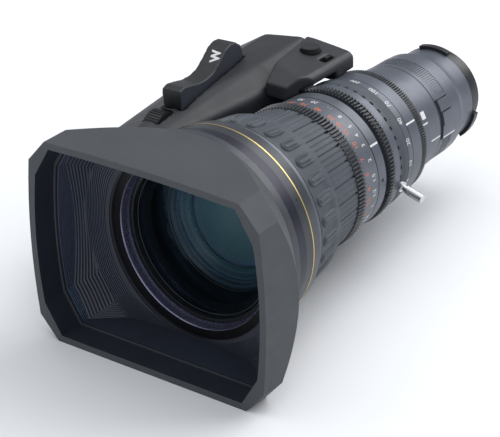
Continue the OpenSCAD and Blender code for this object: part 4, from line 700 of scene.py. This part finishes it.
def make_liner():
    rows, looks = [], []
    pitch = (LINER_FRONT_S - LINER_BACK_S) / WALL_RIBS
    for k in range(WALL_RIBS):
        s = LINER_FRONT_S - k * pitch
        rows += [liner_wall(s, 0.0), liner_wall(s - 0.42 * pitch, 0.0), liner_wall(s - 0.5 * pitch, RIB_H),
                 liner_wall(s - 0.92 * pitch, RIB_H)]
        looks += [GROOVE, RIB, RIB, GROOVE]
    for k in range(BACK_RIBS):
        t = RIBBED_SHARE * k / BACK_RIBS
        step = RIBBED_SHARE / BACK_RIBS
        rows += [liner_back(t, 0.0), liner_back(t + 0.45 * step, 0.0), liner_back(t + 0.5 * step, 0.4),
                 liner_back(t + 0.95 * step, 0.4)]
        looks += [GROOVE, RIB, RIB, GROOVE]
    rows += [liner_back(0.87, 0.0), liner_back(1.0, 0.0)]
    looks += [PLAIN, PLAIN]
    hidden = [liner_back(t, -0.2) for t in (1.0, 0.8, 0.6, 0.45, 0.3, 0.15, 0.0)]
    hidden.append(liner_wall(LINER_FRONT_S, -0.15))
    rows += hidden
    looks += [PLAIN] * len(hidden)
    count = len(LINER_BASE)
    verts = [v for row in rows for v in row]
    piece = make("hood_liner", verts, loops_to_faces(len(rows), count), mats["liner"], "body")
    for extra in ("liner_rib_painted_highlight", "liner_groove_painted_shade", "liner_lit"):
        piece.data.materials.append(mats[extra])
    # Rib faces take the painted highlight colour and groove faces the painted shade colour. The rib faces in LIT_CORNER
    # take the painted light of the lit corner facet.
    for face in piece.data.polygons:
        row, column = divmod(face.index, count)
        floor = LINER_BASE[column][1] < LINER_FLOOR and LINER_BASE[(column + 1) % count][1] < LINER_FLOOR
        corner = column in LIT_CORNER and row < 4 * WALL_RIBS and looks[row] == RIB
        face.material_index = PLAIN if floor else LIT if corner else looks[row]
    bm = bmesh.new()
    bm.from_mesh(piece.data)
    bmesh.ops.remove_doubles(bm, verts=bm.verts, dist=0.000001)
    bmesh.ops.dissolve_degenerate(bm, edges=bm.edges, dist=0.000001)
    bm.to_mesh(piece.data)
    bm.free()


make_liner()


# Ribbed ring in front of the glass, and painted reflections of the inner lens coatings seen through the glass

RETAINER_RIBS = 260


def make_thread_ring():
    verts = []
    steps = RETAINER_RIBS * 4
    section = [(40.95, 193.85), (40.75, 193.8), (40.35, 192.6), (40.05, 191.2), (39.6, 189.6), (39.0, 189.0),
               (40.95, 189.0)]
    for r, s in section:
        for i in range(steps):
            rib = 0.1 if (i % 4) < 2 and 39.2 < r < 40.5 else 0.0
            verts.append(at((r + rib) * MM, TAU * i / steps, s * MM))
    make("ribbed_glass_ring", verts, loops_to_faces(len(section), steps), mats["violet"], "body", True)


make_thread_ring()


def painted_lens_reflections(name):
    """Painted reflections of the inner lens coatings: rings of teal and blue deep in the lens, black nearer its rim."""
    s = Shader(name)
    angle, radius, station = s.polar()
    ramp = s.add("ShaderNodeValToRGB")
    stops = ((0.0, (0.055, 0.115, 0.115)), (0.52, (0.042, 0.095, 0.10)), (0.66, (0.055, 0.085, 0.13)),
             (0.70, (0.012, 0.040, 0.048)), (0.74, (0.030, 0.080, 0.085)), (0.78, (0.008, 0.024, 0.034)),
             (0.82, (0.022, 0.055, 0.080)), (0.86, (0.008, 0.018, 0.028)), (0.90, (0.014, 0.036, 0.052)),
             (0.93, (0.004, 0.006, 0.007)), (1.0, (0.003, 0.004, 0.004)))
    while len(ramp.color_ramp.elements) < len(stops):
        ramp.color_ramp.elements.new(0.5)
    for element, (place, color) in zip(ramp.color_ramp.elements, stops):
        element.position = place
        element.color = rgba(color)
    wobble = s.math("MULTIPLY", s.math("SUBTRACT", s.noise(25.0, 2.0), 0.5), 0.02)
    s.link(s.math("ADD", s.math("DIVIDE", radius, 34 * MM), wobble), ramp.inputs[0])
    s.link(ramp.outputs[0], s.bsdf.inputs["Base Color"])
    s.link(s.ramp(s.noise(200.0), 0.3, 0.7, 0.28, 0.34), s.bsdf.inputs["Roughness"])
    s.bsdf.inputs["Specular IOR Level"].default_value = 0.3
    return s.mat


painted_reflection_look = painted_lens_reflections("inner_painted_reflections")
steps_in = [(33.9, 180.1), (32.8, 175.0), (31.6, 170.4), (31.2, 170.4), (30.4, 169.6), (29.8, 169.4), (29.2, 168.6),
            (28.4, 168.2), (27.8, 167.2), (27.0, 166.8), (26.2, 165.8), (25.4, 165.4), (24.4, 164.2), (24.0, 163.4)]
turned("lens_baffle", steps_in + [(r + 0.35, s - 0.6) for r, s in reversed(steps_in[1:])] + [(34.0, 179.3)],
       painted_reflection_look, "body", "ring_black")
dome = [(24.2 * math.cos(t * math.pi / 20), 162.0 + 5.0 * math.sin(t * math.pi / 20)) for t in range(10)]
turned("inner_lens", dome + [(0.2, 167.0), (0.2, 161.0), (24.2, 161.0)], painted_reflection_look, "body", "ring_black")
# A blue crescent on the inner lens: painted reflection.
patch("inner_crescent", 206, 262, 163.9, 164.5, line_between((163.9, 24.35), (164.5, 23.9)),
      coated("crescent_painted_reflection", (0.22, 0.30, 0.42), 0.3), "body")
turned("rim_line", [(36.35, 186.6), (36.55, 186.55), (36.5, 186.9), (36.35, 186.9)],
       coated("rim_line_grey", (0.10, 0.105, 0.11), 0.4), "body", "ring_black")
# A thin brown circle at the edge of the teal and blue rings: painted highlight line.
turned("inner_rim_line", [(31.75, 171.0), (31.95, 171.0), (31.95, 171.3), (31.75, 171.3)],
       coated("inner_rim_painted_highlight", (0.13, 0.115, 0.10), 0.4), "body", "ring_black")


# Knurled knob of the zoom lever

LEVER_ANGLE = math.radians(-16)
LEVER_S = 79.7
KNOB_R0, KNOB_R1, KNOB_D = 38.4, 46.55, 4.5


def make_knob():
    """Straight knurling round a rod that stands out along a radius."""
    out = at(1.0, LEVER_ANGLE, 0.0)
    side = Vector((-out.z, 0, out.x))
    along = Vector((0, 1, 0))
    base = Vector((0, -LEVER_S * MM, 0))
    flutes, per = 22, 4
    count = flutes * per
    rows = []
    section = [(KNOB_R0, 0.72), (KNOB_R0 + 0.35, 0.95), (KNOB_R0 + 0.5, 1.0), (KNOB_R1 - 0.6, 1.0),
               (KNOB_R1 - 0.35, 0.95), (KNOB_R1, 0.7), (KNOB_R1, 0.02), (KNOB_R0, 0.02)]
    for r, share in section:
        row = []
        for i in range(count):
            a = TAU * i / count
            rad = KNOB_D / 2 * share
            if share >= 0.95 and (i % per) in (0, 3):
                rad -= 0.26
            row.append(base + out * r * MM + (side * math.cos(a) + along * math.sin(a)) * rad * MM)
        rows.append(row)
    verts = [v for row in rows for v in row]
    make("zoom_lever_knurl", verts, loops_to_faces(len(rows), count), mats["metal"], "zoom_ring")


make_knob()


# Numbers and index marks

focus_scale = line_between((99.5, 34.0), (111.5, 34.8))
FEET = [("200", 105), ("70", 92), ("40", 79), ("30", 66), ("20", 57.5), ("15", 50), ("10", 38), ("7", 26), ("5", 14),
        ("4", 2), ("3.5", -9), ("3", -21), ("2.5", -34)]
METRES = [("50", 101), ("20", 88), (". .", 75), ("8", 63.5), ("5", 52.5), ("4", 44), ("3", 35), ("2", 22.5),
          ("1.5", 8), ("1.2", -5), ("1", -17), ("0.8", -30)]
FEET_S, FEET_SIZE = 107.9, 3.7
METRES_S, METRES_SIZE = 103.0, 3.4
lettering("focus_numbers_orange", [(t, a, FEET_S, FEET_SIZE) for t, a in FEET], focus_scale, orange,
          "focus_ring")
lettering("focus_numbers_white", [(t, a, METRES_S, METRES_SIZE) for t, a in METRES], focus_scale, white,
          "focus_ring")
ZOOM_MARKS = [("200", 88), ("100", 69), ("70", 52.5), ("40", 35), ("20", 16.5), ("10", -3), ("8", -20), ("7", -31)]
lettering("zoom_numbers", [(t, a, 70.7, 3.5) for t, a in ZOOM_MARKS], flat_radius(32.2), white,
          "zoom_ring")

patch("focus_index", 30.3, 31.9, 93.4, 99.0, flat_radius(33.9), white, "body")
patch("zoom_index", 28.9, 30.5, 61.0, 67.9, flat_radius(32.0), white, "body")
patch("back_focus_bar", 23.0, 31.0, 47.6, 50.6, flat_radius(27.8), white, "back_focus")
patch("back_focus_tick", 17.6, 19.2, 47.4, 51.4, flat_radius(27.8), white, "back_focus")
patch("macro_index", -5.6, -4.0, 36.9, 45.4, flat_radius(26.7), white, "body")
patch("macro_tick", -11.4, -9.8, 23.2, 32.9, flat_radius(26.4), white, "macro")


def dot(name, angle, station, radius, size, mat, body, slot, sides=20, height=LIFT, sink=0.06):
    """A small round spot on a ring."""
    rows = []
    for lift, share in ((-sink, 1.0), (height, 1.0)):
        row = []
        for i in range(sides):
            a = TAU * i / sides
            u, v = size / 2 * share * math.cos(a), size / 2 * share * math.sin(a)
            row.append(at((radius + lift) * MM, math.radians(angle) + u / radius, (station + v) * MM))
        rows.append(row)
    verts = [v for row in rows for v in row]
    faces = loops_to_faces(2, sides, False) + [tuple(range(sides)), tuple(range(sides, 2 * sides))]
    return make(name, verts, faces, mat, body)


dot("red_dot", 91, 179.2, 46.55, 2.2, red, "body", "ring_black", height=0.12, sink=0.5)
dot("set_screw_front", 31, 171.5, 47.5, 1.1, mats["inside"], "body", "ring_black")
dot("set_screw_index", 1, 96.1, 33.9, 1.8, mats["inside"], "body", "body_grey")
dot("set_screw_index_2", 121, 96.1, 33.9, 1.8, mats["inside"], "body", "body_grey")


# Dark lines where rings meet

def seam(name, radius, s0, s1, body):
    """A thin black band, just proud of the ring it lies on."""
    turned(name, [(radius - 0.2, s0), (radius + 0.03, s0), (radius + 0.03, s1), (radius - 0.2, s1)], mats["line"],
           body, "ring_black")


COLLAR_SPAN = 0.02
COLLAR_R = max(v.co.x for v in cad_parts["hood_clamp_ring"].data.vertices if abs(v.co.z) < COLLAR_SPAN) / MM
seam("seam_focus", 33.9, 98.85, 99.2, "body")
seam("seam_zoom", 32.0, 67.75, 68.1, "body")
seam("seam_macro_index", 26.7, 45.45, 45.8, "body")
seam("seam_macro", 26.4, 35.75, 36.1, "macro")
seam("seam_rear", 26.7, 36.4, 36.7, "body")
seam("seam_lip", 44.5, 161.7, 162.1, "focus_ring")
seam("seam_lip_rear", 44.5, 158.3, 158.8, "focus_ring")
seam("seam_gold", 47.5, 169.15, 169.4, "body")
seam("seam_gold_rear", 47.42, 168.4, 168.62, "body")
seam("seam_hood", COLLAR_R, 185.35, 185.9, "body")


# Marks on the zoom rocker: a letter for the wide end

LETTER_TURN = 18


def rocker_letter(text, along, size):
    """A letter that lies on the rocker's top, read from the outer side."""
    best = None
    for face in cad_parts["zoom_rocker"].data.polygons:
        c, n = face.center, face.normal
        if abs(n.x) < 0.4 and n.z > 0.3:
            far = abs(-c.y / MM - along)
            if best is None or far < best[0]:
                best = (far, c.copy(), n.copy())
    place, normal = best[1], best[2].normalized()
    up = (Vector((-1, 0, 0)) - normal * normal.dot(Vector((-1, 0, 0)))).normalized()
    right = up.cross(normal)
    turn = math.radians(LETTER_TURN)
    up, right = up * math.cos(turn) - right * math.sin(turn), right * math.cos(turn) + up * math.sin(turn)
    curve = bpy.data.curves.new("mark", "FONT")
    curve.body = text
    curve.size = size * MM
    curve.align_x = curve.align_y = "CENTER"
    curve.extrude = 0.12 * MM
    curve.offset = 0.28 * MM
    holder = bpy.data.objects.new("mark", curve)
    bpy.context.scene.collection.objects.link(holder)
    bpy.context.view_layer.update()
    flat = bpy.data.meshes.new_from_object(holder.evaluated_get(bpy.context.evaluated_depsgraph_get()))
    verts = [place + right * v.co.x + up * v.co.y + normal * (v.co.z + 0.05 * MM) for v in flat.vertices]
    make("rocker_letter_" + text, verts, [tuple(p.vertices) for p in flat.polygons], white, "rocker")
    bpy.data.objects.remove(holder)


rocker_letter("W", 103.5, 6.2)


# Floor and lights

FLOOR_Z = cad_box[0][2]
FLOOR_HALF = 4.0


def stage_material(name, color):
    """Plain pale paper."""
    s = Shader(name)
    fac = s.noise(6.0, 2.0)
    s.link(s.mix(fac, rgba(shade(color, 0.99)), rgba(color)), s.bsdf.inputs["Base Color"])
    s.bsdf.inputs["Roughness"].default_value = 0.9
    s.bsdf.inputs["Specular IOR Level"].default_value = 0.1
    return s.mat


def make_floor():
    depth = Vector((math.sin(-CAMERA_AZIMUTH), math.cos(-CAMERA_AZIMUTH), 0)) * FLOOR_HALF
    side = Vector((depth.y, -depth.x, 0))
    middle = Vector((0, 0, FLOOR_Z))
    corners = [middle - side - depth, middle + side - depth, middle + side + depth, middle - side + depth]
    mesh = bpy.data.meshes.new("floor")
    mesh.from_pydata([tuple(v) for v in corners], [], [(0, 1, 2, 3)])
    floor = bpy.data.objects.new("floor", mesh)
    bpy.context.scene.collection.objects.link(floor)
    mesh.materials.append(stage_material("floor_paper", (0.90, 0.91, 0.93)))


make_floor()


def area_light(name, place, target, size, power):
    data = bpy.data.lights.new(name, "AREA")
    data.shape = "RECTANGLE"
    data.size, data.size_y = size
    data.energy = power
    light = bpy.data.objects.new(name, data)
    look = (Vector(target) - Vector(place)).to_track_quat("-Z", "Y")
    light.matrix_world = Matrix.Translation(Vector(place)) @ look.to_matrix().to_4x4()
    bpy.context.scene.collection.objects.link(light)


MIDDLE = (0.0, -0.1, 0.0)
area_light("key", (0.55, 0.9, 1.2), MIDDLE, (1.6, 1.2), 21.0)
area_light("top", (-0.3, -0.2, 1.6), MIDDLE, (1.8, 1.8), 12.0)
area_light("front", (0.5, -1.7, 0.9), MIDDLE, (1.4, 1.0), 4.5)

world = bpy.data.worlds.new("world")
bpy.context.scene.world = world
world.use_nodes = True
world.node_tree.nodes["Background"].inputs["Color"].default_value = (0.90, 0.94, 1.0, 1.0)
world.node_tree.nodes["Background"].inputs["Strength"].default_value = 0.42

bpy.context.scene.view_settings.view_transform = "Standard"
